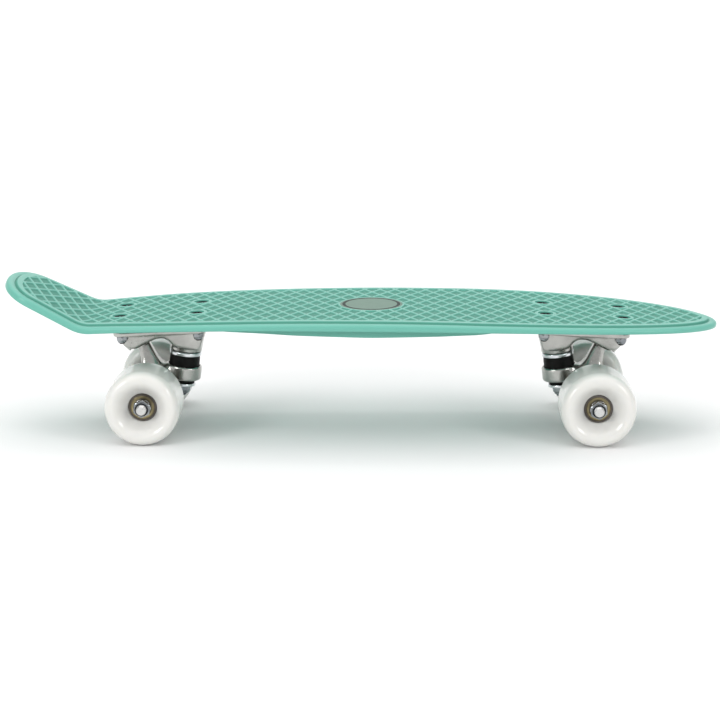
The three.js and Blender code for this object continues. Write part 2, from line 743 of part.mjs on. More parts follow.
function axle() {
  const tip = axleRadius - axleEndChamfer;
  return turned([
    [0, -axleHalfLength], [tip, -axleHalfLength], [axleRadius, -axleHalfLength + axleEndChamfer],
    [axleRadius, axleHalfLength - axleEndChamfer], [tip, axleHalfLength], [0, axleHalfLength],
  ], holeSegments).rotateX(quarterTurn);
}

// Half of the wheel's section from the middle to one face, as [radius, distance from the middle].
function wheelHalfSection() {
  const half = wheelWidth / 2;
  const seatInner = bearingSpacing / 2 - seatGap;
  const seatOuter = bearingSpacing / 2 + bearingWidth + seatGap;
  const seatRadius = bearingRadius + seatGap;
  const flatCorner = wheelRadius / Math.cos(Math.PI / wheelSegments);
  const lipRun = flatCorner - wheelLipRadius;
  const lipDrop = half - wheelTreadHalfWidth;
  const lip = [];
  for (let i = 1; i < lipSteps; i++) {
    const angle = (i / lipSteps) * quarterTurn;
    lip.push([wheelLipRadius + lipRun * Math.sin(angle), half - lipDrop * (1 - Math.cos(angle))]);
  }
  return [
    [wheelCoreRadius, 0], [wheelCoreRadius, seatInner], [seatRadius, seatInner], [seatRadius, seatOuter],
    [wheelHubRadius, seatOuter],
    [
      THREE.MathUtils.lerp(wheelHubRadius, wheelLipRadius, 1 - wheelDishShare),
      THREE.MathUtils.lerp(seatOuter, half, wheelDishShare),
    ],
    [wheelLipRadius, half], ...lip, [flatCorner, wheelTreadHalfWidth],
  ];
}

function wheel() {
  const outer = wheelHalfSection();
  const inner = outer.slice(1).reverse().map(([r, y]) => [r, -y]);
  const points = [...outer, ...inner, outer[0]].map(([r, y]) => new THREE.Vector2(r, y));
  return new THREE.LatheGeometry(points, wheelSegments, Math.PI / wheelSegments);
}

// A bearing whose shield faces outwards: way is 1 on the left and -1 on the right.
function bearing(way) {
  const half = bearingWidth / 2;
  const shieldOuter = bearingRadius - outerRaceWidth;
  const shieldInner = bearingBoreRadius + innerRaceWidth;
  return turned([
    [bearingBoreRadius, -half], [bearingRadius, -half], [bearingRadius, half], [shieldOuter, half],
    [shieldOuter, half - shieldInset], [shieldInner, half - shieldInset], [shieldInner, half],
    [bearingBoreRadius, half],
  ], smallSegments).rotateX(-way * quarterTurn);
}

function speedWasher() {
  const [bore, rim] = [axleRadius + seatGap, speedWasherRadius];
  const half = speedWasherThickness / 2;
  return turned([[bore, -half], [rim, -half], [rim, half], [bore, half]], smallSegments)
    .rotateX(quarterTurn);
}

function truckBolt() {
  const drive = (lengthX, widthY) => (
    block(lengthX, widthY, 2 * boltDriveDepth, 0, 0, boltTop)
  );
  const body = toSolid(turned([
    [0, boltBottom], [boltRadius, boltBottom], [boltRadius, boltTop - boltHeadHeight],
    [boltHeadRadius, boltTop], [0, boltTop],
  ], holeSegments));
  return toGeometry(cutAway(
    body,
    drive(boltDriveLength, boltDriveWidth),
    drive(boltDriveWidth, boltDriveLength),
  ));
}

const board = new THREE.Group();

function addPiece(parent, name, geometry, look) {
  const piece = new THREE.Mesh(tidyGeometry(geometry), new THREE.MeshStandardMaterial(look));
  piece.name = name;
  parent.add(piece);
  return piece;
}

function addTruck(end, side) {
  const truck = new THREE.Group();
  truck.applyMatrix4(truckMatrix(side));
  board.add(truck);
  for (const [corner, x, y] of boltCorners) {
    addPiece(truck, `${end}_bolt_${corner}`, truckBolt(), blackSteel).position.set(x, y, 0);
    const nut = hexNut(lockNutWidth, boltRadius + seatGap, lockNutBottom, lockNutTop);
    addPiece(truck, `${end}_bolt_nut_${corner}`, nut, zincSteel).position.set(x, y, 0);
  }
  addPiece(truck, `${end}_baseplate`, baseplate(), castAluminium);
  addPiece(truck, `${end}_kingpin`, kingpin(), zincSteel);
  addPiece(truck, `${end}_pivot_cup`, pivotCup(), bushingUrethane);
  addPiece(truck, `${end}_board_cup_washer`, boardCupWasher(), zincSteel);
  const boardBushing = bushing(boardBushingRadius, boardBushingBottom, boardBushingTop);
  addPiece(truck, `${end}_board_bushing`, boardBushing, bushingUrethane);
  addPiece(truck, `${end}_hanger`, hanger(), castAluminium);
  const roadBushing = bushing(roadBushingRadius, roadBushingBottom, roadBushingTop);
  addPiece(truck, `${end}_road_bushing`, roadBushing, bushingUrethane);
  addPiece(truck, `${end}_road_cup_washer`, roadCupWasher(), zincSteel);
  const kingpinNut = hexNut(kingpinNutWidth, kingpinRadius + seatGap, kingpinNutBottom, kingpinNutTop);
  addPiece(truck, `${end}_kingpin_nut`, onKingpin(kingpinNut), zincSteel);
  addPiece(truck, `${end}_axle`, axle(), zincSteel).position.set(axleOutward, 0, -axleDrop);
}

function addWheels(end, side) {
  const hub = new THREE.Vector3(axleOutward, 0, -axleDrop).applyMatrix4(truckMatrix(side));
  for (const [hand, way] of [['left', 1], ['right', -1]]) {
    const corner = new THREE.Group();
    corner.position.copy(hub);
    board.add(corner);
    const name = `${end}_${hand}`;
    const addAt = (piece, geometry, look, place) => {
      addPiece(corner, `${name}_${piece}`, geometry, look).position.y = way * place;
    };
    addAt('wheel', wheel(), wheelUrethane, wheelMiddle);
    addAt('inner_bearing', bearing(way), bearingSteel, innerBearingInner + bearingWidth / 2);
    addAt('outer_bearing', bearing(way), bearingSteel, outerBearingOuter - bearingWidth / 2);
    addAt('speed_washer', speedWasher(), zincSteel, speedWasherInner + speedWasherThickness / 2);
    const nut = hexNut(axleNutWidth, axleRadius + seatGap, -axleNutHeight / 2, axleNutHeight / 2);
    addAt('axle_nut', nut.rotateX(quarterTurn), zincSteel, axleNutInner + axleNutHeight / 2);
  }
}

const deckPiece = addPiece(board, 'deck', deck(), plasticMint);
for (const [end, side] of [['tail', -1], ['nose', 1]]) {
  addTruck(end, side);
  addWheels(end, side);
}

// The origin lies under the middle of the deck's length.
deckPiece.geometry.computeBoundingBox();
const reach = deckPiece.geometry.boundingBox;
board.position.x = -(reach.min.x + reach.max.x) / 2;

export default board;
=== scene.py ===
# %% [markdown]
# # A plastic cruiser skateboard
# The small board is a moulded mint deck on two sprung trucks with four soft wheels. The solids are already
# made, at real size, and come in as a frame that stays fixed. This lesson dresses the frame: it works out
# finer surfaces for every piece with numpy, and gives each one a finish made of shader nodes.

# %% Load the frame
import json
import math
import bpy
import numpy as np
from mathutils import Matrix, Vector


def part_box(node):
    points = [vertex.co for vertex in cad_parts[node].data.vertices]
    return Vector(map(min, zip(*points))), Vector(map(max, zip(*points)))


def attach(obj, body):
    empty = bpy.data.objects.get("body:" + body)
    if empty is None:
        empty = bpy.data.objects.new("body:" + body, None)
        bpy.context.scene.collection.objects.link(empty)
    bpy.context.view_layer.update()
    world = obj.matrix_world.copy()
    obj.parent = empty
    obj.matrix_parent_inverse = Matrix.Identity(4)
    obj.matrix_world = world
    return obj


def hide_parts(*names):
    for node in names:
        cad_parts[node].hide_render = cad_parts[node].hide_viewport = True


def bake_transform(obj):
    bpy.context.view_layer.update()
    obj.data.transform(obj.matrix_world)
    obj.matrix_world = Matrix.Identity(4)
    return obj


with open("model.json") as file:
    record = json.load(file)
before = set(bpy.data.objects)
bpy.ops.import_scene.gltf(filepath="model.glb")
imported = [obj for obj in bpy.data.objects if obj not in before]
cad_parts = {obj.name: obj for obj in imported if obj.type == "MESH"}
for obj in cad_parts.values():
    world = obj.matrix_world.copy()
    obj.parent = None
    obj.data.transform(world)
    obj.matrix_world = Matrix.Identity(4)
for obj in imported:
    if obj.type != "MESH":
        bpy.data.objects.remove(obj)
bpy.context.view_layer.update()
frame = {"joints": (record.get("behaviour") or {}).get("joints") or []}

# %% [markdown]
# ## Measures
# Shapes are worked out in millimetres, because that is how a workshop drawing of a board reads, and turned
# into metres when they become meshes. The wheels' size and places could be typed in like the rest, but are
# read from the frame, so that the wheels fit their solids and turn about their joints. The other sizes are
# the drawing's own values, which the solids share.

# %% Sizes that the frame gives
MM = 0.001
ENDS = {"tail": -1, "nose": 1}
HANDS = {"left": 1, "right": -1}
CORNERS = {
    "outer_left": (1, 1), "outer_right": (1, -1), "inner_left": (-1, 1), "inner_right": (-1, -1),
}
joints = {joint["name"]: joint for joint in frame["joints"]}


def box_mm(node):
    """Lowest and highest corner of a node of the frame, in millimetres."""
    low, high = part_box(node)
    return np.array(low) / MM, np.array(high) / MM


hubs = {
    (end, hand): np.array(joints[f"{end}_{hand}_wheel_spin"]["pos_m"]) / MM
    for end in ENDS for hand in HANDS
}
wheel_low, wheel_high = box_mm("tail_left_wheel")
wheel_radius = (wheel_high[2] - wheel_low[2]) / 2
wheel_width = wheel_high[1] - wheel_low[1]
axle_middle_x = (hubs["tail", "left"][0] + hubs["nose", "left"][0]) / 2
print(f"wheels {2 * wheel_radius:.1f} x {wheel_width:.1f} mm, board middle at x {axle_middle_x:.2f} mm")

# %% Sizes of the deck
deck_nose_reach = 276.78
deck_tail_reach = 296.7
deck_half_width = 75.0
deck_widest_place = 83.0
camber_radius = 3500.0
tail_bend_place = 219.5
tail_bend_radius = 24.0
tail_angle = math.radians(26.6)
tail_round_length = 25.0
plate_thickness = 4.6
rim_width = 7.4
panel_step = 1.4
rim_lip_width = 4.6
rim_depths = {"tail": 6.2, "trucks": 4.6, "middle": 5.8}
pad_thickness = 12.2
belly_thickness = 14.4
belly_half_width = 62.0
truck_reach = 169.0
bolt_span_along = 61.2
bolt_span_across = 41.3
bolt_places = [
    (side * truck_reach + dx * bolt_span_along / 2, dy * bolt_span_across / 2)
    for side in (-1, 1) for dx in (-1, 1) for dy in (-1, 1)]
print(f"deck {deck_nose_reach + deck_tail_reach:.0f} mm along its curve, with {len(bolt_places)} bolts")

# %% Sizes of the trucks
axle_outward = 11.9
axle_drop = 52.9
kingpin_lean = math.radians(10)
kingpin_inward = 17.1
cup_washer_drop = 24.35
kingpin_radius = 4.76
seat_gap = 0.3
truck_slope = truck_reach / camber_radius
print(f"truck slope {math.degrees(truck_slope):.2f} degrees")

# %% [markdown]
# ## Placing things
# Places are 4 x 4 matrices, so that a bolt can be drawn upright about the z axis and then carried to its
# truck, and the truck to its end of the board, by multiplying the matrices from right to left. The objects
# could be moved instead, but then a pattern on object coordinates would turn with each of them. Carrying
# the points leaves every finished object at the origin.

# %% Matrices
def shifted(x=0.0, y=0.0, z=0.0):
    """A matrix that moves by x, y and z."""
    matrix = np.eye(4)
    matrix[:3, 3] = (x, y, z)
    return matrix


def turned(axis, angle):
    """A matrix that turns about one of the three axes by the right-hand rule."""
    first, second = {"x": (1, 2), "y": (2, 0), "z": (0, 1)}[axis]
    matrix = np.eye(4)
    matrix[first, first] = matrix[second, second] = math.cos(angle)
    matrix[first, second] = -math.sin(angle)
    matrix[second, first] = math.sin(angle)
    return matrix


print("a quarter turn about z carries x to", (turned("z", np.pi / 2) @ (1, 0, 0, 1))[:3].round(3))

# %% [markdown]
# ## Shells
# Every piece is a closed skin: an array of points and an array of faces with three or four corners. A mesh
# could also be grown corner by corner, but a wheel or a waffle has thousands of them. A small class holds
# the two arrays together, so that shells can be placed, joined and turned the right way out in one go.
# Faces with three corners have -1 in the last column. A zone number on each face says which finish it
# takes.

# %% The shell class
class Shell:
    """Points in millimetres, faces as rows of corner numbers, and a zone number for each face."""

    def __init__(self, points, faces, zones=None):
        self.points = np.asarray(points, float).reshape(-1, 3)
        self.faces = np.asarray(faces, int).reshape(-1, 4)
        self.zones = np.zeros(len(self.faces), int) if zones is None else np.asarray(zones, int)

    def placed(self, matrix):
        """The shell carried by a matrix: each point times the matrix's turn, plus its shift."""
        points = self.points @ matrix[:3, :3].T + matrix[:3, 3]
        return Shell(points, self.faces, self.zones)

    def volume(self):
        """A sixth of the sum, over triangles, of a corner dotted with the cross product of the others."""
        a, b, c = (self.points[self.faces[:, i]] for i in range(3))
        d = self.points[np.where(self.faces[:, 3] < 0, self.faces[:, 2], self.faces[:, 3])]
        return ((a * np.cross(b, c)).sum() + (a * np.cross(c, d)).sum()) / 6

    def outward(self):
        """The same shell with its faces turned over if it was inside out."""
        if self.volume() > 0:
            return self
        over = self.faces[:, [2, 1, 0, 3]]
        over[self.faces[:, 3] >= 0] = self.faces[self.faces[:, 3] >= 0][:, ::-1]
        return Shell(self.points, over, self.zones)


def together(*shells):
    """Several shells as one, each turned outwards first."""
    shells = [shell.outward() for shell in shells]
    starts = np.cumsum([0] + [len(shell.points) for shell in shells])
    faces = [np.where(shell.faces < 0, -1, shell.faces + start) for shell, start in zip(shells, starts)]
    return Shell(
        np.concatenate([shell.points for shell in shells]),
        np.concatenate(faces),
        np.concatenate([shell.zones for shell in shells]),
    )


cube_corner = Shell(
    [[0, 0, 0], [1, 0, 0], [0, 1, 0], [0, 0, 1]],
    [[0, 2, 1, -1], [0, 1, 3, -1], [1, 2, 3, -1], [0, 3, 2, -1]])
print(f"the corner of a unit cube holds {cube_corner.volume():.3f}")

# %% Grids of faces
def grid_faces(rows, columns, wrap_rows=False, wrap_columns=True):
    """Faces of a grid of points: each joins (i, j), (i, j + 1), (i + 1, j + 1) and (i + 1, j)."""
    i, j = np.meshgrid(
        np.arange(rows if wrap_rows else rows - 1), np.arange(columns if wrap_columns else columns - 1),
        indexing="ij",
    )
    down, right = (i + 1) % rows, (j + 1) % columns
    corners = [i * columns + j, i * columns + right, down * columns + right, down * columns + j]
    return np.stack(corners, -1).reshape(-1, 4)


def fan(ring, centre):
    """Triangles from a closed ring of point numbers to one centre point."""
    return np.stack([ring, np.roll(ring, -1), np.full(len(ring), centre), np.full(len(ring), -1)], -1)


def revolved(profile, segments, zones=None):
    """A profile of (radius, height) turned about z: point (r cos a, r sin a, h) at angle a.

    A profile that starts and ends on the axis closes at two poles. Any other closes on itself. zones holds
    a number for each side of the profile.
    """
    profile = np.asarray(profile, float)
    sides = len(profile)
    zones = np.zeros(sides, int) if zones is None else np.resize(zones, sides)
    poles = profile[0, 0] == 0 and profile[-1, 0] == 0
    ring = profile[1:-1] if poles else profile
    angle = np.linspace(0, 2 * np.pi, segments, endpoint=False)
    points = np.stack([
        ring[:, :1] * np.cos(angle), ring[:, :1] * np.sin(angle), ring[:, 1:] + 0 * angle,
    ], -1).reshape(-1, 3)
    faces = grid_faces(len(ring), segments, wrap_rows=not poles)
    if not poles:
        return Shell(points, faces, np.repeat(zones, segments)).outward()
    count = len(points)
    points = np.concatenate([points, [[0, 0, profile[0, 1]], [0, 0, profile[-1, 1]]]])
    first, last = np.arange(segments), np.arange(count - segments, count)
    faces = np.concatenate([faces, fan(first[::-1], count), fan(last, count + 1)])
    face_zones = np.concatenate([
        np.repeat(zones[1:-2], segments), np.full(segments, zones[0]), np.full(segments, zones[-2]),
    ])
    return Shell(points, faces, face_zones).outward()


print("a turned square ring has", len(revolved([[1, 0], [2, 0], [2, 1], [1, 1]], 12).faces), "faces")

# %% Soft corners
def softened(corners, radius, steps=4, closed=False):
    """Rounds the corners of a profile with the curve (1-t)^2 a + 2t(1-t) p + t^2 b.

    p is the corner, and a and b lie on its two sides at the radius from it, or at less than half the side.
    radius is one number or one for each corner. The ends of an open profile stay where they are.
    """
    p = np.asarray(corners, float)
    radius = np.broadcast_to(np.asarray(radius, float), len(p)).copy()
    if not closed:
        radius[[0, -1]] = 0
    before, after = np.roll(p, 1, 0) - p, np.roll(p, -1, 0) - p
    reach = [np.linalg.norm(side, axis=1, keepdims=True) for side in (before, after)]
    a, b = (
        p + side / np.maximum(length, 1e-9) * np.minimum(radius[:, None], 0.45 * length)
        for side, length in zip((before, after), reach)
    )
    t = np.linspace(0, 1, steps + 1)[None, :, None]
    curve = (1 - t) ** 2 * a[:, None] + 2 * t * (1 - t) * p[:, None] + t ** 2 * b[:, None]
    curve = curve.reshape(-1, p.shape[1])
    apart = np.linalg.norm(np.diff(curve, axis=0), axis=1) > 1e-6
    return curve[np.concatenate([[True], apart])]


print("a softened square has", len(softened([[0, 0], [1, 0], [1, 1], [0, 1]], 0.2, closed=True)), "points")

# %% [markdown]
# ## Castings
# A truck's baseplate and hanger are cast: blocks, bosses and bars that flow into each other, with no sharp
# corner anywhere. Blocks joined by booleans would leave a hard seam at every crossing, and a bevel fails on
# seams that meet. Such a shape is easier to say as a distance field. Each simple form is a formula that is
# negative inside it, a smooth minimum melts two forms together with a fillet, and a smooth maximum cuts one
# from another. The skin of the field is then found on a grid by surface nets.

# %% Skin of a field
def skin_of(field, low, step):
    """The surface where a sampled field is 0, by surface nets.

    Each grid cell that the surface passes through gets one point, the mean of the places where the cell's
    twelve edges change sign. Each grid edge that changes sign gets one face, which joins the points of the
    four cells round it.
    """
    cells = tuple(n - 1 for n in field.shape)
    total = np.zeros((*cells, 3))
    count = np.zeros(cells)
    whole = [np.arange(n) for n in field.shape]
    crossings = []
    for axis in range(3):
        others = [k for k in range(3) if k != axis]
        near = np.take(field, whole[axis][:-1], axis)
        far = np.take(field, whole[axis][1:], axis)
        crossed = (near < 0) != (far < 0)
        along = np.where(crossed, near / np.where(crossed, near - far, 1), 0)
        crossings.append((axis, others, crossed, near < 0))
        for first in (0, 1):
            for second in (0, 1):
                window = [slice(None)] * 3
                window[others[0]] = slice(first, first + cells[others[0]])
                window[others[1]] = slice(second, second + cells[others[1]])
                hit, place = crossed[tuple(window)], along[tuple(window)]
                total[..., axis] += hit * place
                total[..., others[0]] += hit * first
                total[..., others[1]] += hit * second
                count += hit
    used = count > 0
    number = np.full(cells, -1)
    number[used] = np.arange(used.sum())
    points = np.argwhere(used) + total[used] / count[used][:, None]
    faces = []
    for axis, others, crossed, leaving in crossings:
        inner = [slice(None)] * 3
        inner[others[0]] = inner[others[1]] = slice(1, -1)
        at = np.argwhere(crossed[tuple(inner)])
        way = leaving[tuple(inner)][tuple(at.T)]
        ring = []
        for first, second in ((0, 0), (1, 0), (1, 1), (0, 1)):
            cell = at.copy()
            cell[:, others[0]] += first
            cell[:, others[1]] += second
            ring.append(number[tuple(cell.T)])
        ring = np.stack(ring, -1)
        if axis == 1:
            way = ~way
        faces.append(np.where(way[:, None], ring, ring[:, ::-1]))
    return Shell(np.asarray(low) + points * step, np.concatenate(faces)).outward()


def sampled(form, low, high, step):
    """Evaluates a form, a function of x, y and z, on a grid between two corners, and skins it."""
    axes = [np.arange(a, b + step, step) for a, b in zip(low, high)]
    x, y, z = np.meshgrid(*axes, indexing="ij")
    return skin_of(form(x, y, z), low, step)


ball = sampled(lambda x, y, z: np.sqrt(x * x + y * y + z * z) - 5, (-6, -6, -6), (6, 6, 6), 0.5)
print(f"a 5 mm ball skinned at 0.5 mm holds {ball.volume():.0f} of {4 / 3 * math.pi * 125:.0f} mm3")

# %% Forms
def melted(a, b, fillet):
    """Smooth minimum: joins two forms and fills the corner between them."""
    share = np.clip(0.5 + 0.5 * (b - a) / fillet, 0, 1)
    return b + (a - b) * share - fillet * share * (1 - share)


def shared(a, b, rounding):
    """Smooth maximum: what two forms have in common, with its edge rounded."""
    return -melted(-a, -b, rounding)


def carved(a, tool, rounding):
    """A form less a tool, with the new edge rounded."""
    return shared(a, -tool, rounding)


def rod(x, y, z, matrix, radius, low, high, rounding=0.8):
    """A cylinder or cone about the z axis of a matrix, between two heights.

    The distance out is the distance from the axis less the radius, which runs evenly from radius[0] at the
    low end to radius[1] at the high end.
    """
    back = np.linalg.inv(matrix)
    across = back[0, 0] * x + back[0, 1] * y + back[0, 2] * z + back[0, 3]
    over = back[1, 0] * x + back[1, 1] * y + back[1, 2] * z + back[1, 3]
    height = back[2, 0] * x + back[2, 1] * y + back[2, 2] * z + back[2, 3]
    start, end = np.broadcast_to(radius, 2)
    wide = start + (end - start) * np.clip((height - low) / (high - low), 0, 1)
    return shared(np.hypot(across, over) - wide, np.maximum(low - height, height - high), rounding)


def outlined(u, v, corners):
    """Signed distance in a plane to a closed outline, negative inside.

    It is the least distance to any side, and its sign comes from counting the sides that a ray crosses.
    """
    corners = np.asarray(corners, float)
    least = np.full(u.shape, np.inf)
    inside = np.zeros(u.shape, bool)
    for (u0, v0), (u1, v1) in zip(corners, np.roll(corners, -1, 0)):
        du, dv = u1 - u0, v1 - v0
        along = np.clip(((u - u0) * du + (v - v0) * dv) / (du * du + dv * dv), 0, 1)
        least = np.minimum(least, np.hypot(u - u0 - along * du, v - v0 - along * dv))
        if dv != 0:
            inside ^= ((v0 > v) != (v1 > v)) & (u < u0 + (v - v0) * du / dv)
    return np.where(inside, -least, least)


def plate_outline(x, y, length, width, corner):
    """Distance in plan to a rectangle with round corners."""
    out_x, out_y = np.abs(x) - length / 2 + corner, np.abs(y) - width / 2 + corner
    outside = np.hypot(np.maximum(out_x, 0), np.maximum(out_y, 0))
    return outside + np.minimum(np.maximum(out_x, out_y), 0) - corner


print(f"where two skins cross, a fillet of 4 mm adds {-melted(0.0, 0.0, 4.0):.0f} mm")

# %% [markdown]
# ## Pieces
# A shell becomes a Blender object in one place, so every piece gets the same care: metres, smooth shading
# with real edges kept sharp, its finishes, the body that it moves with and the nodes that it stands for.

# %% Making a piece
def add_piece(name, shell, finishes, body, nodes=(), sharp=38, marks=None):
    """Makes the object of a shell. Its corners go in as one array, and its faces as another.

    marks holds named numbers, one for each point, which a finish can read.
    """
    shell = shell.outward()
    mesh = bpy.data.meshes.new(name)
    corners = shell.faces.ravel()
    corners = corners[corners >= 0]
    sides = (shell.faces >= 0).sum(1)
    mesh.vertices.add(len(shell.points))
    mesh.vertices.foreach_set("co", (shell.points * MM).astype(np.float32).ravel())
    mesh.loops.add(len(corners))
    mesh.loops.foreach_set("vertex_index", corners.astype(np.int32))
    mesh.polygons.add(len(sides))
    mesh.polygons.foreach_set("loop_start", (np.cumsum(sides) - sides).astype(np.int32))
    mesh.update(calc_edges=True)
    for mark, values in (marks or {}).items():
        mesh.attributes.new(mark, "FLOAT", "POINT").data.foreach_set("value", values.astype(np.float32))
    mesh.validate()
    for finish in finishes:
        mesh.materials.append(finish)
    mesh.polygons.foreach_set("material_index", shell.zones.astype(np.int32))
    mesh.shade_smooth()
    mesh.set_sharp_from_angle(angle=math.radians(sharp))
    piece = bpy.data.objects.new(name, mesh)
    bpy.context.scene.collection.objects.link(piece)
    if body:
        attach(piece, body)
    if nodes:
        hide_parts(*nodes)
    return piece


# %% [markdown]
# ## Shader sums
# A finish is a graph of nodes, but most of it is plain arithmetic on a few patterns. A wire wraps one
# socket and understands + - * and **, so a finish reads as a sum, and every operator adds its own Math
# node.

# %% Wires
class Wire:
    """One output socket of a finish, on which arithmetic adds Math nodes."""

    def __init__(self, finish, socket):
        self.finish = finish
        self.socket = socket

    def __add__(self, other):
        return self.finish.maths("ADD", self, other)

    def __sub__(self, other):
        return self.finish.maths("SUBTRACT", self, other)

    def __rsub__(self, other):
        return self.finish.maths("SUBTRACT", other, self)

    def __mul__(self, other):
        return self.finish.maths("MULTIPLY", self, other)

    def __pow__(self, other):
        return self.finish.maths("POWER", self, other)

    __radd__ = __add__
    __rmul__ = __mul__


print("a wire can be added, subtracted, multiplied and raised to a power")

# %% Finishes
class Finish:
    """A material with one Principled shader. Uniform values sit on the shader's own sockets."""

    def __init__(self, name, **uniform):
        self.material = bpy.data.materials.new(name)
        self.material.use_nodes = True
        self.tree = self.material.node_tree
        self.shader = self.tree.nodes["Principled BSDF"]
        for socket, value in uniform.items():
            self.shader.inputs[socket.replace("_", " ")].default_value = value

    def node(self, kind, settings=None, sockets=None, output=0):
        """Adds a node, sets its settings, then fills its sockets with values or wires."""
        node = self.tree.nodes.new(kind)
        for key, value in (settings or {}).items():
            setattr(node, key, value)
        for key, value in (sockets or {}).items():
            if isinstance(value, Wire):
                self.tree.links.new(value.socket, node.inputs[key])
            else:
                node.inputs[key].default_value = value
        return Wire(self, node.outputs[output])

    def maths(self, operation, first, second=0.0, clamp=False):
        """One Math node."""
        settings = {"operation": operation, "use_clamp": clamp}
        return self.node("ShaderNodeMath", settings, {0: first, 1: second})

    def clamped(self, wire):
        """The wire held between 0 and 1."""
        return self.maths("ADD", wire, 0.0, clamp=True)

    def place(self):
        """The object's own coordinates, in metres."""
        return self.node("ShaderNodeTexCoord", output="Object")

    def noise(self, scale, detail=3.0):
        """Soft noise from 0 to 1, with so many waves in a metre."""
        sockets = {"Scale": scale, "Detail": detail, "Roughness": 0.55, "Vector": self.place()}
        return self.node("ShaderNodeTexNoise", None, sockets)

    def blended(self, factor, first, second):
        """A colour that goes from the first to the second as the factor goes from 0 to 1."""
        settings = {"data_type": "RGBA", "clamp_factor": True}
        return self.node("ShaderNodeMix", settings, {0: factor, 6: first, 7: second}, output=2)

    def drive(self, socket, wire):
        """Links a wire to one of the shader's sockets."""
        self.tree.links.new(wire.socket, self.shader.inputs[socket])

    def raised(self, height, distance):
        """Feeds a height to Normal through one Bump node. The distance is in metres."""
        sockets = {"Height": height, "Distance": distance, "Strength": 1.0}
        self.drive("Normal", self.node("ShaderNodeBump", None, sockets))


print("materials before the first finish:", len(bpy.data.materials))

# %% [markdown]
# ## Moulded plastic
# The deck is dyed right through and pressed in a steel mould. Its ribs and rim come from polished steel, so
# they are smooth and catch long highlights, while the floor of the waffle has the fine sparkle of an etched
# mould. One even colour would do from afar, but looks computed up close. Three finishes share one recipe:
# the dye drifts a little in colour over a hand's width, and a very fine ripple breaks up the highlights.
# The etched one is darker, as painted shade on the step and groove round the board. The waffle has a fourth
# finish, whose gloss follows the height of each point, and whose colour darkens in the pockets as painted
# shade.

# %% Mint plastic
def dyed_plastic(name, light, deep, gloss, ripple, grain):
    """Dyed plastic: two colours drift into each other, and the roughness wanders about a middle value."""
    finish = Finish(name, IOR=1.49, Specular_IOR_Level=0.5)
    drift = finish.noise(9.0, 2.0)
    speck = finish.noise(420.0, 2.0)
    finish.drive("Base Color", finish.blended(drift * 0.8 + speck * 0.2, light, deep))
    finish.drive("Roughness", gloss + (finish.noise(60.0, 4.0) - 0.5) * 0.12)
    finish.raised(finish.noise(grain, 3.0) + finish.noise(grain / 7, 2.0) * 2.0, ripple)
    return finish.material


MINT_LIGHT = (0.148, 0.460, 0.374, 1)
MINT_DEEP = (0.130, 0.428, 0.345, 1)
# The pocket colours are the mint darkened as painted shade for the waffle's pockets.
POCKET_SHADE_LIGHT = (0.080, 0.285, 0.222, 1)
POCKET_SHADE_DEEP = (0.066, 0.248, 0.190, 1)
mint_smooth = dyed_plastic("mint_smooth", MINT_LIGHT, MINT_DEEP, 0.36, 1.2e-5, 900.0)
# The etched mint is darker than the smooth one, as painted shade for the step and the groove round the
# board.
mint_etched_shade = dyed_plastic(
    "mint_etched_shade", (0.090, 0.335, 0.260, 1), (0.078, 0.300, 0.232, 1), 0.62, 6e-5, 2600.0)
mint_under = dyed_plastic("mint_under", MINT_LIGHT, MINT_DEEP, 0.5, 3e-5, 1500.0)


def rib_plastic():
    """The waffle's plastic: smooth on the ribs' tops, etched on the pockets' floors, which are darkened as
    painted shade.

    It reads the rise that the waffle's points carry, from 0 on a floor to 1 on a rib.
    """
    finish = Finish("mint_waffle_shaded_pockets", IOR=1.49, Specular_IOR_Level=0.35)
    rise = finish.node("ShaderNodeAttribute", {"attribute_name": "rise"}, output="Fac")
    top = finish.clamped(rise * 1.6 - 0.5)
    colour = finish.blended(finish.noise(9.0, 2.0), MINT_LIGHT, MINT_DEEP)
    # The floor colour darkens the pockets as painted shade.
    floor_shade_colour = finish.blended(finish.noise(420.0, 2.0), POCKET_SHADE_LIGHT, POCKET_SHADE_DEEP)
    finish.drive("Base Color", finish.blended(top, floor_shade_colour, colour))
    finish.drive("Roughness", 0.62 - 0.26 * top + (finish.noise(60.0, 4.0) - 0.5) * 0.1)
    finish.raised(finish.noise(2600.0, 3.0) * (1.0 - 0.8 * top), 6e-5)
    return finish.material


waffle_plastic = rib_plastic()
print("mint finishes:", mint_smooth.name, mint_etched_shade.name, mint_under.name, waffle_plastic.name)

# %% [markdown]
# ## Urethane
# The wheels are poured white urethane: glossy, and a little cloudy, so light sinks in and comes out softer.
# Plain white would look like paint. Subsurface scattering a few millimetres deep gives the softness, and a
# thin clear coat the gloss. The bushings are a black urethane with a dull, dusty skin.

# %% Urethanes
def wheel_urethane():
    """White urethane that scatters light under its skin."""
    finish = Finish(
        "wheel_urethane", IOR=1.5, Subsurface_Weight=0.25, Subsurface_Scale=0.004,
        Subsurface_Radius=(1.0, 0.95, 0.8), Coat_Weight=0.25, Coat_Roughness=0.06)
    clear, milky = (0.76, 0.755, 0.725, 1), (0.72, 0.715, 0.685, 1)
    finish.drive("Base Color", finish.blended(finish.noise(55.0, 3.0), clear, milky))
    finish.drive("Roughness", 0.16 + finish.noise(140.0, 4.0) * 0.12)
    finish.raised(finish.noise(350.0, 2.0), 1.5e-5)
    return finish.material


def black_urethane():
    """Black urethane with a dull, slightly dusty skin."""
    finish = Finish("black_urethane", IOR=1.5, Specular_IOR_Level=0.10)
    dust = finish.noise(260.0, 5.0)
    clean, dusty = (0.004, 0.004, 0.004, 1), (0.018, 0.017, 0.016, 1)
    finish.drive("Base Color", finish.blended(dust ** 2.0, clean, dusty))
    finish.drive("Roughness", 0.3 + dust * 0.25)
    finish.raised(finish.noise(900.0, 3.0), 3e-5)
    return finish.material


wheel_white = wheel_urethane()
bushing_black = black_urethane()
print("urethanes:", wheel_white.name, bushing_black.name)
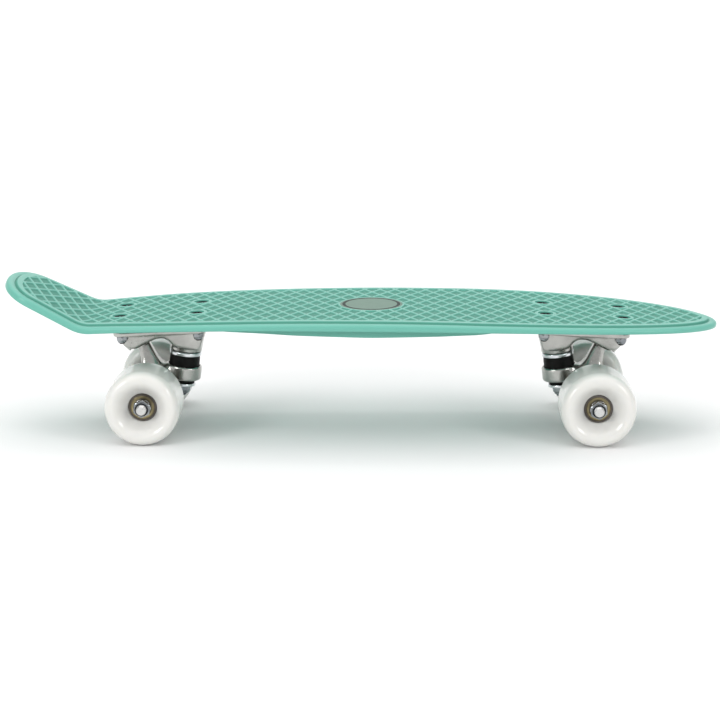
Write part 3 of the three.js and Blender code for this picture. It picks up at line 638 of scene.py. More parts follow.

# %% [markdown]
# ## Metals
# Five metals meet in a truck. The castings are aluminium, tumbled smooth but still faintly lumpy. Washers,
# nuts and the kingpin are zinc-plated steel, bright on the washers and duller on the rest, the bolts are
# blackened, the axle is bare steel, and the bearings have steel races with a yellow shield. The races are
# tinted dark brown as painted shade for their deep seat in the wheel. One recipe serves them all: a base
# tint that drifts towards a second one in patches, a roughness that follows another noise, and a grain for
# the bump. The black of the bolts is a coat that hides the metal, so it isn't metallic.

# %% Metal recipe
def metal(name, tint, patch_tint, rough, rough_spread, grain, depth, patches=70.0, metallic=1.0, shine=0.5):
    """A metal whose tint and roughness follow two noises, with a fine grain."""
    finish = Finish(name, Metallic=metallic, Specular_IOR_Level=shine)
    patch = finish.noise(patches, 4.0)
    finish.drive("Base Color", finish.blended(finish.clamped(patch * 2.4 - 0.7), tint, patch_tint))
    finish.drive("Roughness", rough + (finish.noise(patches * 3.1, 5.0) - 0.5) * rough_spread)
    finish.raised(finish.noise(grain, 4.0) + finish.noise(grain / 9, 2.0) * 3.0, depth)
    return finish.material


cast_grey = metal(
    "cast_aluminium", (0.52, 0.520, 0.495, 1), (0.40, 0.400, 0.380, 1), 0.25, 0.16, 1300.0, 4e-5,
    patches=90.0)
zinc_bright = metal(
    "zinc_plate", (0.79, 0.81, 0.82, 1), (0.60, 0.63, 0.66, 1), 0.20, 0.14, 2200.0, 8e-6)
zinc_dull = metal(
    "zinc_dull", (0.43, 0.450, 0.465, 1), (0.19, 0.205, 0.225, 1), 0.24, 0.14, 2200.0, 1e-5)
axle_steel = metal("axle_steel", (0.72, 0.72, 0.71, 1), (0.55, 0.55, 0.55, 1), 0.26, 0.12, 2500.0, 8e-6)
bolt_black = metal(
    "bolt_black", (0.010, 0.010, 0.011, 1), (0.025, 0.025, 0.028, 1), 0.6, 0.15, 2400.0, 1e-5,
    metallic=0.0, shine=0.02)
# The races' dark brown is painted shade: their steel sits deep in the wheel's bearing seat.
race_shaded = metal(
    "race_steel_shaded", (0.150, 0.135, 0.120, 1), (0.090, 0.080, 0.070, 1), 0.30, 0.14, 2400.0, 6e-6)
shield_yellow = metal(
    "shield_brass", (0.42, 0.355, 0.205, 1), (0.20, 0.170, 0.100, 1), 0.30, 0.18, 2000.0, 8e-6)
print("metals:", cast_grey.name, zinc_bright.name, axle_steel.name, bolt_black.name, race_shaded.name)

# %% [markdown]
# ## Print and nylon
# The round badge on the deck is a printed disc, with a pale face inside a dark ring. It could be an image
# on a flat disc, but two inks need none: each is a finish of its own on a stretch of one turned disc. The
# lock nuts grip with a ring of dark nylon, which is as dull as the ink and shares its recipe.

# %% Badge and nylon
def plain_print(name, ink, worn_ink, rough):
    """Dull ink or nylon, with a slight cloudiness."""
    finish = Finish(name, IOR=1.5, Specular_IOR_Level=0.15)
    cloud = finish.noise(150.0, 4.0)
    finish.drive("Base Color", finish.blended(cloud, ink, worn_ink))
    finish.drive("Roughness", rough + finish.noise(300.0, 3.0) * 0.1)
    finish.raised(finish.noise(1200.0, 2.0), 8e-6)
    return finish.material


badge_pale = plain_print("badge_pale", (0.175, 0.265, 0.218, 1), (0.158, 0.243, 0.198, 1), 0.45)
badge_dark = plain_print("badge_dark", (0.030, 0.045, 0.040, 1), (0.022, 0.034, 0.030, 1), 0.50)
nylon_dark = plain_print("nylon_dark", (0.020, 0.024, 0.030, 1), (0.035, 0.040, 0.050, 1), 0.42)
print("dull finishes:", badge_pale.name, badge_dark.name, nylon_dark.name)

# %% [markdown]
# ## The deck's own coordinates
# The deck is bent: it has a long camber, and its tail kicks up. It is drawn flat, with a distance along it,
# a distance across it and a distance square to it, and one function bends the flat drawing into place. A
# lattice or a curve could bend it too, but a formula can be the one that shaped the solid, and then the two
# ends of the board land within about a tenth of a millimetre of the solid's. Ribs, rim and bosses need no
# bending of their own.

# %% Bending
bend_start = tail_bend_place / camber_radius
bend_length = tail_bend_radius * (tail_angle + bend_start)


def camber_drop(along):
    """How far the camber's arc falls below its crown: R (1 - cos(s / R))."""
    return camber_radius * (1 - np.cos(along / camber_radius))


crown_height = (
    wheel_radius + (axle_drop + pad_thickness) * math.cos(truck_slope)
    + axle_outward * math.sin(truck_slope) + camber_drop(truck_reach))


def deck_point(along, across, square):
    """Bends flat places onto the deck.

    Up to the bend the deck is an arc of the camber's radius. Through the bend it is an arc of the bend's
    radius that turns upwards, and past the bend it runs straight. The square distance goes along the
    surface's normal (-sin slope, cos slope).
    """
    along, across, square = np.broadcast_arrays(along, across, square)
    held = np.maximum(along, -tail_bend_place)
    past = np.maximum(-tail_bend_place - along, 0)
    in_bend = np.minimum(past, bend_length)
    turned_slope = bend_start - in_bend / tail_bend_radius
    slope = np.where(past > 0, turned_slope, -held / camber_radius)
    straight = past - in_bend
    x = camber_radius * np.sin(held / camber_radius)
    x = x - tail_bend_radius * (math.sin(bend_start) - np.sin(turned_slope)) - straight * np.cos(slope)
    z = crown_height - camber_drop(held)
    z = z - tail_bend_radius * (np.cos(turned_slope) - math.cos(bend_start)) - straight * np.sin(slope)
    x = x + axle_middle_x - square * np.sin(slope)
    return np.stack([x, across + 0.0, z + square * np.cos(slope)], -1)


deck_low, deck_high = box_mm("deck")
tips = deck_point([-deck_tail_reach, deck_nose_reach], 0, -panel_step)
print("deck tips by the formula:", tips[:, 0].round(1))
print("deck box in the frame:", deck_low.round(1), deck_high.round(1))

# %% [markdown]
# ## The outline
# Seen from above, the deck is widest ahead of its middle, rounds to a blunt point at the nose and tapers to
# a short rounded tail. It could be traced with a curve object, but the waffle and the rim both have to
# follow the same line, so it is worked out once as points. The nose is a quarter of an ellipse, the flank a
# smooth curve through a few shares of the width, and the tail's corners a superellipse.

# %% Outline
tail_waist_share = 0.657
tail_waist_width_share = 0.79
tail_tip_width_share = 0.56
tail_round_power_share = 2.2
flank_shares = np.array([
    [-deck_widest_place / deck_tail_reach, 1], [0, 0.98], [0.2, 0.951], [0.4, 0.915], [0.553, 0.862],
    [tail_waist_share, tail_waist_width_share],
])


def smooth_curve(knots, samples):
    """A curve through knots: between two of them it is the cubic whose slopes are half the gap around."""
    t = np.linspace(0, len(knots) - 1, samples)
    i = np.minimum(t.astype(int), len(knots) - 2)
    t = (t - i)[:, None]
    p0, p1, p2, p3 = (knots[np.clip(i + k, 0, len(knots) - 1)] for k in (-1, 0, 1, 2))
    v1, v2 = (p2 - p0) / 2, (p3 - p1) / 2
    return (2 * p1 - 2 * p2 + v1 + v2) * t ** 3 + (3 * p2 - 3 * p1 - 2 * v1 - v2) * t ** 2 + v1 * t + p1


flank_curve = smooth_curve(flank_shares, 400)


def flank_half_width(along):
    """Half width behind the widest place, read off the flank's curve and then off the tail's taper."""
    share = -along / deck_tail_reach
    flank = np.interp(share, flank_curve[:, 0], flank_curve[:, 1])
    taper = np.interp(share, [tail_waist_share, 1], [tail_waist_width_share, tail_tip_width_share])
    return deck_half_width * np.where(share > tail_waist_share, taper, flank)


def half_outline(count):
    """Points of half of the outline, evenly spaced from the tail's tip to the nose's."""
    angle = np.linspace(0, np.pi / 2, 160)
    tail_along = -deck_tail_reach + tail_round_length * (1 - np.cos(angle))
    power = tail_round_power_share
    tail_half = flank_half_width(tail_along) * (1 - np.cos(angle) ** power) ** (1 / power)
    flank_along = np.linspace(-deck_tail_reach + tail_round_length, deck_widest_place, 500)[1:]
    nose_along = deck_widest_place + (deck_nose_reach - deck_widest_place) * np.sin(angle[1:])
    nose_half = deck_half_width * np.cos(angle[1:])
    nose_half[-1] = 0
    along = np.concatenate([tail_along, flank_along, nose_along])
    half = np.concatenate([tail_half, flank_half_width(flank_along), nose_half])
    walked = np.concatenate([[0], np.cumsum(np.hypot(np.diff(along), np.diff(half)))])
    even = np.linspace(0, walked[-1], count)
    return np.stack([np.interp(even, walked, along), np.interp(even, walked, half)], -1)


outline_half_count = 330
half_loop = half_outline(outline_half_count)
outline = np.concatenate([half_loop, half_loop[-2:0:-1] * (1, -1)])
tangent = np.roll(outline, -1, 0) - np.roll(outline, 1, 0)
tangent /= np.linalg.norm(tangent, axis=1, keepdims=True)
inward = np.stack([tangent[:, 1], -tangent[:, 0]], -1)
print(f"outline of {len(outline)} points, widest {2 * outline[:, 1].max():.1f} mm")

# %% [markdown]
# ## The deck's shell
# The shell is a section carried round the outline. From the inside out, the section is the floor of the
# waffle, the flat border that frames it, the step down into a narrow groove, the rim and its soft roll over
# the edge, the lip underneath and the flat underside. The step and the groove take the etched finish, whose
# darker colour is painted shade that draws the dark line round the board. A bevelled plate would be
# quicker, but its edge would be equally deep all round. The rim is deeper at the tail and in the middle
# than at the trucks, so the section's lower half follows the place along the board.

# %% Rim and section
floor_depth = 0.95
border_width = 4.6
rib_shoulder = 0.35
rim_crown = 1.42
rim_roll_width, rim_roll_depth = 3.2, 2.5
# Rows of zone 2, the step's wall and the groove, take the darker etched mint as painted shade.
step_and_groove = [
    (0.12, -0.2, 2), (-0.15, -0.55, 2), (-0.35, -1.1, 2), (-0.5, -1.75, 2), (-0.9, -2.0, 2),
    (-1.5, -1.9, 0), (-2.0, -1.6, 0),
]
rim_top = [(5.0, -1.5), (3.9, -1.44)]
edge_turn = [(0, 1.1), (0.15, 0.55), (0.5, 0.15)]
lip_turn = [(-0.8, 0), (-0.2, 0.2), (0, 0.8)]


def rim_depth(along):
    """Depth of the rim: a squared cosine between the trucks, and an even growth towards the tail."""
    middle = np.cos(np.pi / 2 * np.clip(along / truck_reach, -1, 1)) ** 2
    between = rim_depths["trucks"] + (rim_depths["middle"] - rim_depths["trucks"]) * middle
    run = deck_tail_reach - truck_reach - tail_round_length
    tail = np.clip((-along - truck_reach) / run, 0, 1)
    return between + (rim_depths["tail"] - rim_depths["trucks"]) * tail


def section_rows():
    """The section as rows of (inset, square distance, share of the rim's depth, zone)."""
    outer, inner = rim_width, rim_width + border_width
    foot = inner + rib_shoulder
    rows = [(foot + 0.1, -floor_depth - 0.2, 0, 0), (foot, -floor_depth, 0, 0)]
    rows += [(inner + rib_shoulder * (1 - t), -floor_depth * (1 - t) ** 1.6, 0, 0) for t in (0.5, 0.85)]
    rows += [(inner - rib_shoulder, -0.02, 0, 0), (outer + 1.2, 0, 0, 0), (outer + 0.5, -0.03, 0, 0)]
    rows += [(outer + away, level, 0, zone) for away, level, zone in step_and_groove]
    rows += [(inset, level, 0, 0) for inset, level in rim_top]
    rows += [
        (rim_roll_width * (1 - math.sin(turn)), -rim_crown - rim_roll_depth * (1 - math.cos(turn)), 0, 0)
        for turn in np.linspace(0, np.pi / 2, 8)]
    rows += [(inset, -panel_step + rise, 1, 0) for inset, rise in edge_turn]
    rows += [(1.1, -panel_step, 1, 1)]
    rows += [(rim_lip_width + away, -panel_step + rise, 1, 1) for away, rise in lip_turn]
    rows += [(rim_lip_width + 0.5, -plate_thickness - 0.4, 0, 1)]
    rows += [(rim_lip_width + 1.1, -plate_thickness, 0, 1)]
    return np.array(rows)


rim_sample = rim_depth(np.array([-deck_tail_reach, -truck_reach, 0.0])).round(1)
print("section of", len(section_rows()), "rows; rim at the tail, a truck and the middle:", rim_sample)

# %% Shell round the outline
def deck_shell():
    """The section at every point of the outline, bent into place, with its two ends closed across."""
    rows = section_rows()
    count = len(outline)
    loops = outline[None] + inward[None] * rows[:, 0, None, None]
    square = rows[:, 1, None] - rows[:, 2, None] * rim_depth(outline[None, :, 0])
    points = deck_point(loops[..., 0], loops[..., 1], square).reshape(-1, 3)
    faces = grid_faces(len(rows), count)
    zones = np.repeat(rows[:-1, 3].astype(int), count)
    half = np.arange(1, count // 2 - 1)
    ladder = np.stack([half, half + 1, count - half - 1, count - half], -1)
    ends = np.array([[0, 1, count - 1, -1], [count // 2 - 1, count // 2, count // 2 + 1, -1]])
    top = np.concatenate([ladder, ends])
    start = (len(rows) - 1) * count
    under = np.where(top < 0, -1, top + start)
    flipped = top[:, [2, 1, 0, 3]]
    flipped[top[:, 3] >= 0] = top[top[:, 3] >= 0][:, ::-1]
    faces = np.concatenate([faces, flipped, under])
    zones = np.concatenate([zones, np.full(len(top), 2), np.full(len(top), 1)])
    return Shell(points, faces, zones)


shell = deck_shell()
print("deck shell:", len(shell.faces), "faces,", f"{shell.outward().volume() / 1000:.0f} cm3")
add_piece("deck_shell", shell, [mint_smooth, mint_under, mint_etched_shade], "board", ["deck"])

# %% [markdown]
# ## The waffle
# The standing area is a grid of low ribs that cross at sixty degrees to the board and leave small diamond
# pockets. It could be a bump map, but its ribs catch the light on their shoulders and hide the pockets'
# floors at a low angle, so it is real relief. The grid of points is laid along the ribs themselves, with
# lines at a rib's top edges, shoulders and feet. Near a boss, the badge or the border the points gather at
# the join, and drop below the neighbouring piece, so that every rib runs cleanly into it.

# %% Sizes of the waffle
waffle_pitch_along = 12.6
waffle_pitch_across = 21.7
waffle_middle_across = 3.9
rib_lines = np.array([0.07, 0.11, 0.155, 0.33, 0.5, 0.67, 0.845, 0.89, 0.93])
rib_rises = np.array([1.0, 0.55, 0.03, 0.0, 0.0, 0.0, 0.03, 0.55, 1.0])
corner_power = 2.5
hidden_level = -1.9
waffle_bottom = -2.6
border_join = 11.2
boss_join = 7.25
badge_join = 25.4
gather_width = 1.7
rib_slope = math.degrees(math.atan2(waffle_pitch_across, waffle_pitch_along))
print(f"pockets {waffle_pitch_along} x {waffle_pitch_across} mm, ribs at {rib_slope:.0f} degrees")

# %% Joins of the waffle
def gathered(distance, width):
    """Pulls signed distances towards zero: d (0.3 + 0.7 (d / w)^2) inside the width, and d outside it."""
    share = np.clip(np.abs(distance) / width, 0, 1)
    return distance * (0.3 + 0.7 * share ** 2)


def inset_of(places, blocks=100):
    """How far inside the outline each place lies, and the inward direction at the outline's nearest point.

    Each block of places is set against all of the outline at once, as a table of distances.
    """
    nearest = np.concatenate([
        np.hypot(block[:, :1] - outline[:, 0], block[:, 1:] - outline[:, 1]).argmin(1)
        for block in np.array_split(places, blocks)])
    direction = inward[nearest]
    return ((places - outline[nearest]) * direction).sum(1), direction


print(f"the badge's middle lies {inset_of(np.zeros((1, 2)), 1)[0][0]:.1f} mm inside the outline")

# %% Lattice of the ribs
def lattice():
    """Places on lattice lines s = x / a + y / b and t = x / a - y / b, their rises, and the faces between.

    A rib's rise is a function of one lattice coordinate's fraction, and the two directions join by
    (s^p + t^p)^(1/p), held at 1.
    """
    count = int(2 * deck_tail_reach / waffle_pitch_along) // 2 + 6
    whole = np.arange(-count, count)
    lines = (whole[:, None] + rib_lines).ravel()
    rises = np.tile(rib_rises, len(whole))
    s, t = np.meshgrid(lines, lines, indexing="ij")
    rise_s, rise_t = np.meshgrid(rises, rises, indexing="ij")
    x = waffle_pitch_along * (s + t) / 2
    y = waffle_pitch_across * (s - t) / 2 + waffle_middle_across
    near = (np.abs(y) < deck_half_width) & (x > -deck_tail_reach) & (x < deck_nose_reach)
    number = np.full(x.shape, -1)
    number[near] = np.arange(near.sum())
    rise = (rise_s[near] ** corner_power + rise_t[near] ** corner_power) ** (1 / corner_power)
    quads = np.stack([number[:-1, :-1], number[1:, :-1], number[1:, 1:], number[:-1, 1:]], -1)
    quads = quads.reshape(-1, 4)
    return np.stack([x[near], y[near]], -1), np.minimum(1, rise), quads[(quads >= 0).all(1)]


print("lattice:", len(lattice()[0]), "points over the deck's length and width")

# %% Ribs up to their joins
def joined_ribs():
    """The lattice inside the rim, gathered at border, bosses and badge, and hidden past them."""
    places, rise, quads = lattice()
    inset, direction = inset_of(places)
    kept = inset > rim_lip_width
    to_border = inset - border_join
    places = places + direction * (gathered(to_border, gather_width) - to_border)[:, None]
    hidden = to_border < 0
    for centre, radius in [*((place, boss_join) for place in bolt_places), ((0, 0), badge_join)]:
        away = places - centre
        reach = np.linalg.norm(away, axis=1)
        beyond = reach - radius
        pull = gathered(beyond, gather_width) - beyond
        places = places + away / np.maximum(reach, 0.01)[:, None] * pull[:, None]
        hidden |= beyond < 0
    rise[hidden] = 0
    level = np.where(hidden, hidden_level, floor_depth * (rise - 1))
    quads = quads[kept[quads].all(1)]
    used = np.unique(quads)
    renumbered = np.zeros(len(places), int)
    renumbered[used] = np.arange(len(used))
    return renumbered[quads], places[used], level[used], rise[used]


print("joins: border,", len(bolt_places), "bosses and the badge, each gathered over", gather_width, "mm")

# %% Waffle
def waffle():
    """The ribs, closed by a flat layer below and a wall under each edge that belongs to one face only."""
    quads, places, level, rise = joined_ribs()
    size = len(places)
    edges = np.concatenate([quads[:, [k, (k + 1) % 4]] for k in range(4)])
    alone = edges[~np.isin(edges[:, 0] * size + edges[:, 1], edges[:, 1] * size + edges[:, 0])]
    walls = np.stack([alone[:, 1], alone[:, 0], alone[:, 0] + size, alone[:, 1] + size], -1)
    top = deck_point(places[:, 0], places[:, 1], level)
    bottom = deck_point(places[:, 0], places[:, 1], waffle_bottom)
    faces = np.concatenate([quads, quads[:, ::-1] + size, walls])
    return Shell(np.concatenate([top, bottom]), faces), np.concatenate([rise, np.zeros(size)])


waffle_shell, waffle_rise = waffle()
print("waffle:", len(waffle_shell.faces), "faces")
add_piece("deck_waffle", waffle_shell, [waffle_plastic], "board", sharp=75,
          marks={"rise": waffle_rise})

# %% [markdown]
# ## Bosses and badge
# Each bolt sits in a round boss that stands level with the ribs, and the badge lies in the middle, level
# with the round seat that frames it. All are turned profiles, for a cylinder with a bevel would lack the
# soft fall of their edges. They are drawn flat and then bent with the deck, so the wide badge follows the
# camber.

# %% Round places on the deck
def on_deck(shell, along, across):
    """Bends a flat shell onto the deck, with its origin at a place."""
    x, y, z = shell.points.T
    return Shell(deck_point(x + along, y + across, z), shell.faces, shell.zones)


boss_profile = softened(
    [[6.15, -1.6], [6.0, 0.03], [8.5, 0.03], [8.7, -1.6]], [0.1, 0.35, 0.45, 0.1], steps=5, closed=True)
boss = revolved(boss_profile, 64)
bosses = together(*[on_deck(boss, along, across) for along, across in bolt_places])
add_piece("deck_bosses", bosses, [mint_smooth], "board")

seat_profile = softened(
    [[25.05, -1.6], [25.05, 0.0], [26.6, 0.0], [26.8, -1.6]], [0.1, 0.25, 0.6, 0.1], steps=5, closed=True)
seat = on_deck(revolved(seat_profile, 160), 0, 0)
add_piece("badge_seat", seat, [mint_smooth], "board")

badge_rows = np.array([
    [0, -1.5, 0], [24.9, -1.5, 0], [25.0, -0.5, 0], [24.9, -0.12, 0], [24.6, -0.04, 0], [23.45, -0.02, 0],
    [23.3, -0.02, 1], [20.9, -0.02, 1], [20.75, -0.02, 0], [20.5, -0.03, 0], [15, -0.03, 0], [10, -0.03, 0],
    [5, -0.03, 0], [0, -0.03, 0],
])
badge = revolved(badge_rows[:, :2], 160, badge_rows[:, 2].astype(int))
add_piece("badge", on_deck(badge, 0, 0), [badge_pale, badge_dark], "board")
print("bosses:", len(bosses.faces), "faces, badge 50 mm across")

# %% [markdown]
# ## The belly
# Under the plate, a ribbed belly stiffens the board between its two truck pads. The pockets could be cut
# out with booleans. One grid is cleaner: lines across the board at both sides of every rib, lines along it
# at both sides of every wall, and a height that is either the ribs' level or the pockets' ceiling. The
# lines are half a millimetre apart from one to the other, which gives the walls the draft that lets a
# moulding out of its tool.

# %% Sizes of the belly
pad_half_length = 43
belly_half_length = truck_reach + pad_half_length
belly_shares = np.array([
    [-1, 0.3], [-0.97, 0.44], [-0.9, 0.4839], [-0.7, 0.4839], [-0.61, 0.58], [-0.53, 0.71], [-0.28, 0.92],
    [0, 1], [0.26, 0.95], [0.4, 0.87], [0.46, 0.76], [0.5, 0.58], [0.54, 0.4839], [0.9, 0.4839],
    [0.97, 0.44], [1, 0.3],
])
rib_pitch = 27.0
rib_thickness = 2.4
rib_rows = 7
belly_wall = 3.4
draft = 0.5
parting = belly_half_width / 2
print(f"belly {2 * belly_half_length:.0f} x {2 * belly_half_width:.0f} mm, with {rib_rows} rows of pockets")

# %% A skin through rings
def tube(rings):
    """A skin through rings of points, whose first and last ring close onto their middles."""
    rings = np.asarray(rings, float)
    rows, columns = rings.shape[:2]
    points = np.concatenate([rings.reshape(-1, 3), [rings[0].mean(0), rings[-1].mean(0)]])
    first, last = np.arange(columns), np.arange(columns) + (rows - 1) * columns
    faces = np.concatenate([
        grid_faces(rows, columns), fan(first[::-1], rows * columns), fan(last, rows * columns + 1)])
    return Shell(points, faces).outward()


square_ring = np.array([[0, 0, 0], [1, 0, 0], [1, 1, 0], [0, 1, 0]])
unit_tube = tube([square_ring, square_ring + (0, 0, 1)])
print(f"a tube through two unit squares, 1 mm apart, holds {unit_tube.volume():.0f} cubic millimetre")

# %% Belly
def belly():
    """Rings across the belly. A point's depth is the ribs' level, or the plate's underside in a pocket."""
    ends = [0, 0.3, 1.0, 3.0]
    marks = [(-belly_half_length + np.array(ends)), (belly_half_length - np.array(ends))]
    marks.append(np.linspace(-belly_half_length + 6, belly_half_length - 6, 90))
    row_starts = (np.arange(rib_rows) - rib_rows / 2) * rib_pitch + rib_thickness / 2
    row_ends = row_starts + rib_pitch - rib_thickness
    marks += [row_starts, row_starts + draft, row_ends - draft, row_ends]
    along = np.unique(np.concatenate(marks).round(4))
    along = along[np.concatenate([[True], np.diff(along) > 0.05])]
    span = np.array([-4, 0, 4])[:, None]
    share = np.clip((along + span) / belly_half_length, -1, 1)
    half = belly_half_width * np.interp(share, belly_shares[:, 0], belly_shares[:, 1]).mean(0)
    inner = truck_reach - pad_half_length
    depth = pad_thickness + (belly_thickness - pad_thickness) * np.where(
        np.abs(along) > inner, 0, np.cos(np.pi / 2 * along / inner) ** 2)
    rounding = np.interp(belly_half_length - np.abs(along), [0, 0.3, 1.0], [1.0, 0.3, 0])
    bottom = -depth + rounding
    in_row = ((along[:, None] > row_starts + draft / 2) & (along[:, None] < row_ends - draft / 2)).any(1)
    ceiling = np.where(in_row, -plate_thickness, bottom)
    top = -plate_thickness + 0.6
    rib = rib_thickness / 2

    def beside_parting(away, margin):
        """A line along the parting rib, kept a margin inside the belly's side where the belly is narrow."""
        return np.minimum(parting + away, half - margin)

    lines = [
        (half, top + 0 * half), (half, bottom + 1.0), (half - 0.3, bottom + 0.3), (half - 1.0, bottom),
        (half - belly_wall, bottom), (half - belly_wall - draft, ceiling),
        (beside_parting(rib + draft, 4.2), ceiling), (beside_parting(rib, 4.4), bottom),
        (beside_parting(-rib, 4.6), bottom), (beside_parting(-rib - draft, 4.8), ceiling),
        (rib + draft + 0 * half, ceiling), (rib + 0 * half, bottom),
    ]
    left = [np.stack([along, y, z], -1) for y, z in lines]
    right = [side * (1, -1, 1) for side in left[::-1]]
    flat = np.stack(left + right, 1)
    return tube(deck_point(flat[..., 0], flat[..., 1], flat[..., 2]))


belly_shell = belly()
print("belly:", len(belly_shell.faces), "faces")
add_piece("deck_belly", belly_shell, [mint_under], "board")

# %% [markdown]
# ## Truck places
# Everything in a truck is drawn in the truck's own frame: x points outwards to the near end of the board,
# and z is square to the pad. The kingpin and the pivot have frames of their own inside it. The levels of
# the stack on the kingpin follow from each other, so that a thicker bushing would push down all that hangs
# below.

# %% Frames of a truck
def truck_place(side):
    """The frame of a truck: the pad's foot, a half turn at the tail, and the camber's slope."""
    foot = deck_point(side * truck_reach, 0, -pad_thickness)
    return shifted(*foot) @ turned("z", 0 if side > 0 else np.pi) @ turned("y", truck_slope)


kingpin_place = shifted(-kingpin_inward, 0, -cup_washer_drop) @ turned("y", -kingpin_lean)
print("foot of the nose truck:", truck_place(1)[:3, 3].round(1), "mm")

# %% Levels on the kingpin
board_washer_height, board_bushing_height, road_bushing_height = 3.2, 11.0, 6.6
board_bushing_radius, road_bushing_radius = 12.2, 10.3
road_washer_height, kingpin_nut_height, kingpin_end = 2.4, 6.2, 2.5
kingpin_head_across, kingpin_head_height, kingpin_head_sink = 14.3, 5.5, 2.5
pivot_cup_radius, pivot_cup_height = 7.5, 9
ring_height, ring_web, ring_seat_share, ring_radius = 11.5, 4.2, 0.41, 14.4
washer_top = board_washer_height / 2
board_bushing_top = -washer_top - seat_gap
board_bushing_bottom = board_bushing_top - board_bushing_height
web_top = board_bushing_bottom - seat_gap
web_bottom = web_top - ring_web
ring_top = web_top + (ring_height - ring_web) * ring_seat_share
ring_bottom = ring_top - ring_height
road_bushing_top = web_bottom - seat_gap
road_bushing_bottom = road_bushing_top - road_bushing_height
road_washer_top = road_bushing_bottom - seat_gap
road_washer_bottom = road_washer_top - road_washer_height
kingpin_nut_top = road_washer_bottom - seat_gap
kingpin_nut_bottom = kingpin_nut_top - kingpin_nut_height
kingpin_bottom = kingpin_nut_bottom - kingpin_end
head_rise = cup_washer_drop / math.cos(kingpin_lean) - kingpin_head_sink
print(f"kingpin from {kingpin_bottom:.1f} to {head_rise:.1f} mm")

# %% Pivot and axle
pivot_outward, pivot_drop = 21.0, 13.0
ring_middle = (web_top + web_bottom) / 2
ring_place = np.array([
    -kingpin_inward - ring_middle * math.sin(kingpin_lean),
    -cup_washer_drop + ring_middle * math.cos(kingpin_lean),
])
steer_lean = math.atan2(pivot_outward - ring_place[0], -pivot_drop - ring_place[1])
pivot_place = shifted(pivot_outward, 0, -pivot_drop) @ turned("y", steer_lean)
axle_place = shifted(axle_outward, 0, -axle_drop) @ turned("x", -np.pi / 2)
print(f"steering axis leans {math.degrees(steer_lean):.1f} degrees in the truck")

# %% [markdown]
# ## Baseplate
# The baseplate is a flat flange with four bolt holes. A housing hangs under it, with a deep channel between
# two cheeks on the pivot's side, and a boss for the kingpin on the other. It is the first of the two
# castings made as a field, because the bosses lean and cut slantwise through the housing.

# %% Baseplate
flange_length, flange_width, flange_thickness = 74.0, 56.0, 4.2
housing_width, housing_depth, channel_width, channel_wall = 31.0, 21.0, 21.0, 2.0
kingpin_boss_radius, kingpin_head_bore = 13.0, 8.6
pivot_boss_radii, pivot_boss_length = (11.2, 9.2), 10.5
bolt_bore, nut_seat_radius = 2.7, 5.3
cut_start, cut_overrun = -4, 9
casting_step = 0.7
housing_shares = np.array([
    [-0.97, -0.05], [0.97, -0.05], [0.96, -0.2], [0.83, -0.72], [0.6, -0.86], [0.36, -0.66],
    [0.15, -0.49], [0.05, -0.46], [-0.06, -0.47], [-0.16, -0.58], [-0.24, -0.78], [-0.31, -0.85],
    [-0.81, -1], [-0.97, -0.24],
])


def flat_outlined(x, z, corners):
    """The outline's distance worked out once on the x and z plane, and spread over y."""
    return outlined(x[:, :1, :], z[:, :1, :], corners)


def baseplate_form(x, y, z):
    """Flange, housing and two bosses melted together, less the channel, the bores and the nut seats."""
    top, bottom = -seat_gap, -seat_gap - flange_thickness
    flange = shared(
        plate_outline(x, y, flange_length, flange_width, 7.0), np.maximum(bottom - z, z - top), 0.9)
    side = softened(housing_shares * (flange_length / 2, housing_depth), 2.5, closed=True)
    housing = shared(flat_outlined(x, z, side), np.abs(y) - housing_width / 2, 1.6)
    housing = shared(housing, plate_outline(x, y, flange_length, housing_width, 12.0), 1.6)
    start = -kingpin_inward + kingpin_boss_radius + channel_wall
    end = pivot_outward - pivot_drop * math.tan(steer_lean) / 2
    channel = flat_outlined(x, z, [
        [start, bottom], [end, bottom], [pivot_outward, -pivot_drop],
        [pivot_outward + housing_depth / 2, -2 * housing_depth], [start, -2 * housing_depth],
    ])
    channel = shared(channel, np.abs(y) - channel_width / 2, 1.5)
    body = melted(flange, housing, 3.5)
    boss = rod(x, y, z, kingpin_place, kingpin_boss_radius, washer_top + seat_gap, head_rise)
    body = carved(melted(body, boss, 2.0), channel, 1.2)
    body = melted(body, rod(x, y, z, pivot_place, pivot_boss_radii, 0, pivot_boss_length, 1.4), 2.0)
    above = head_rise + cut_overrun
    head_seat = head_rise - kingpin_head_height - seat_gap
    for place, radius, low, high, edge in [
            (pivot_place, pivot_cup_radius + seat_gap, cut_start, pivot_cup_height + seat_gap, 0.6),
            (kingpin_place, kingpin_radius + seat_gap, cut_start, above, 0.6),
            (kingpin_place, kingpin_head_bore, head_seat, above, 0.4)]:
        body = carved(body, rod(x, y, z, place, radius, low, high), edge)
    for bolt_x in (-bolt_span_along / 2, bolt_span_along / 2):
        for bolt_y in (-bolt_span_across / 2, bolt_span_across / 2):
            around = np.hypot(x - bolt_x, y - bolt_y)
            body = carved(body, around - bolt_bore, 0.3)
            body = carved(body, np.maximum(around - nut_seat_radius, z - bottom), 0.5)
    return shared(body, z - top, 0.5)


baseplate = sampled(baseplate_form, (-39, -30, -27), (39, 30, 1.5), casting_step)
print("baseplate:", len(baseplate.faces), "faces,", f"{baseplate.volume() / 1000:.1f} cm3")

# %% [markdown]
# ## Hanger
# The hanger is the half of the truck that steers. A ring holds the two bushings, a bar carries the axle,
# and a yoke flows from one to the other and up into the pivot stub. The yoke has a known outline from the
# side and another from the front. What the two share is its shape, which no single sweep could give.

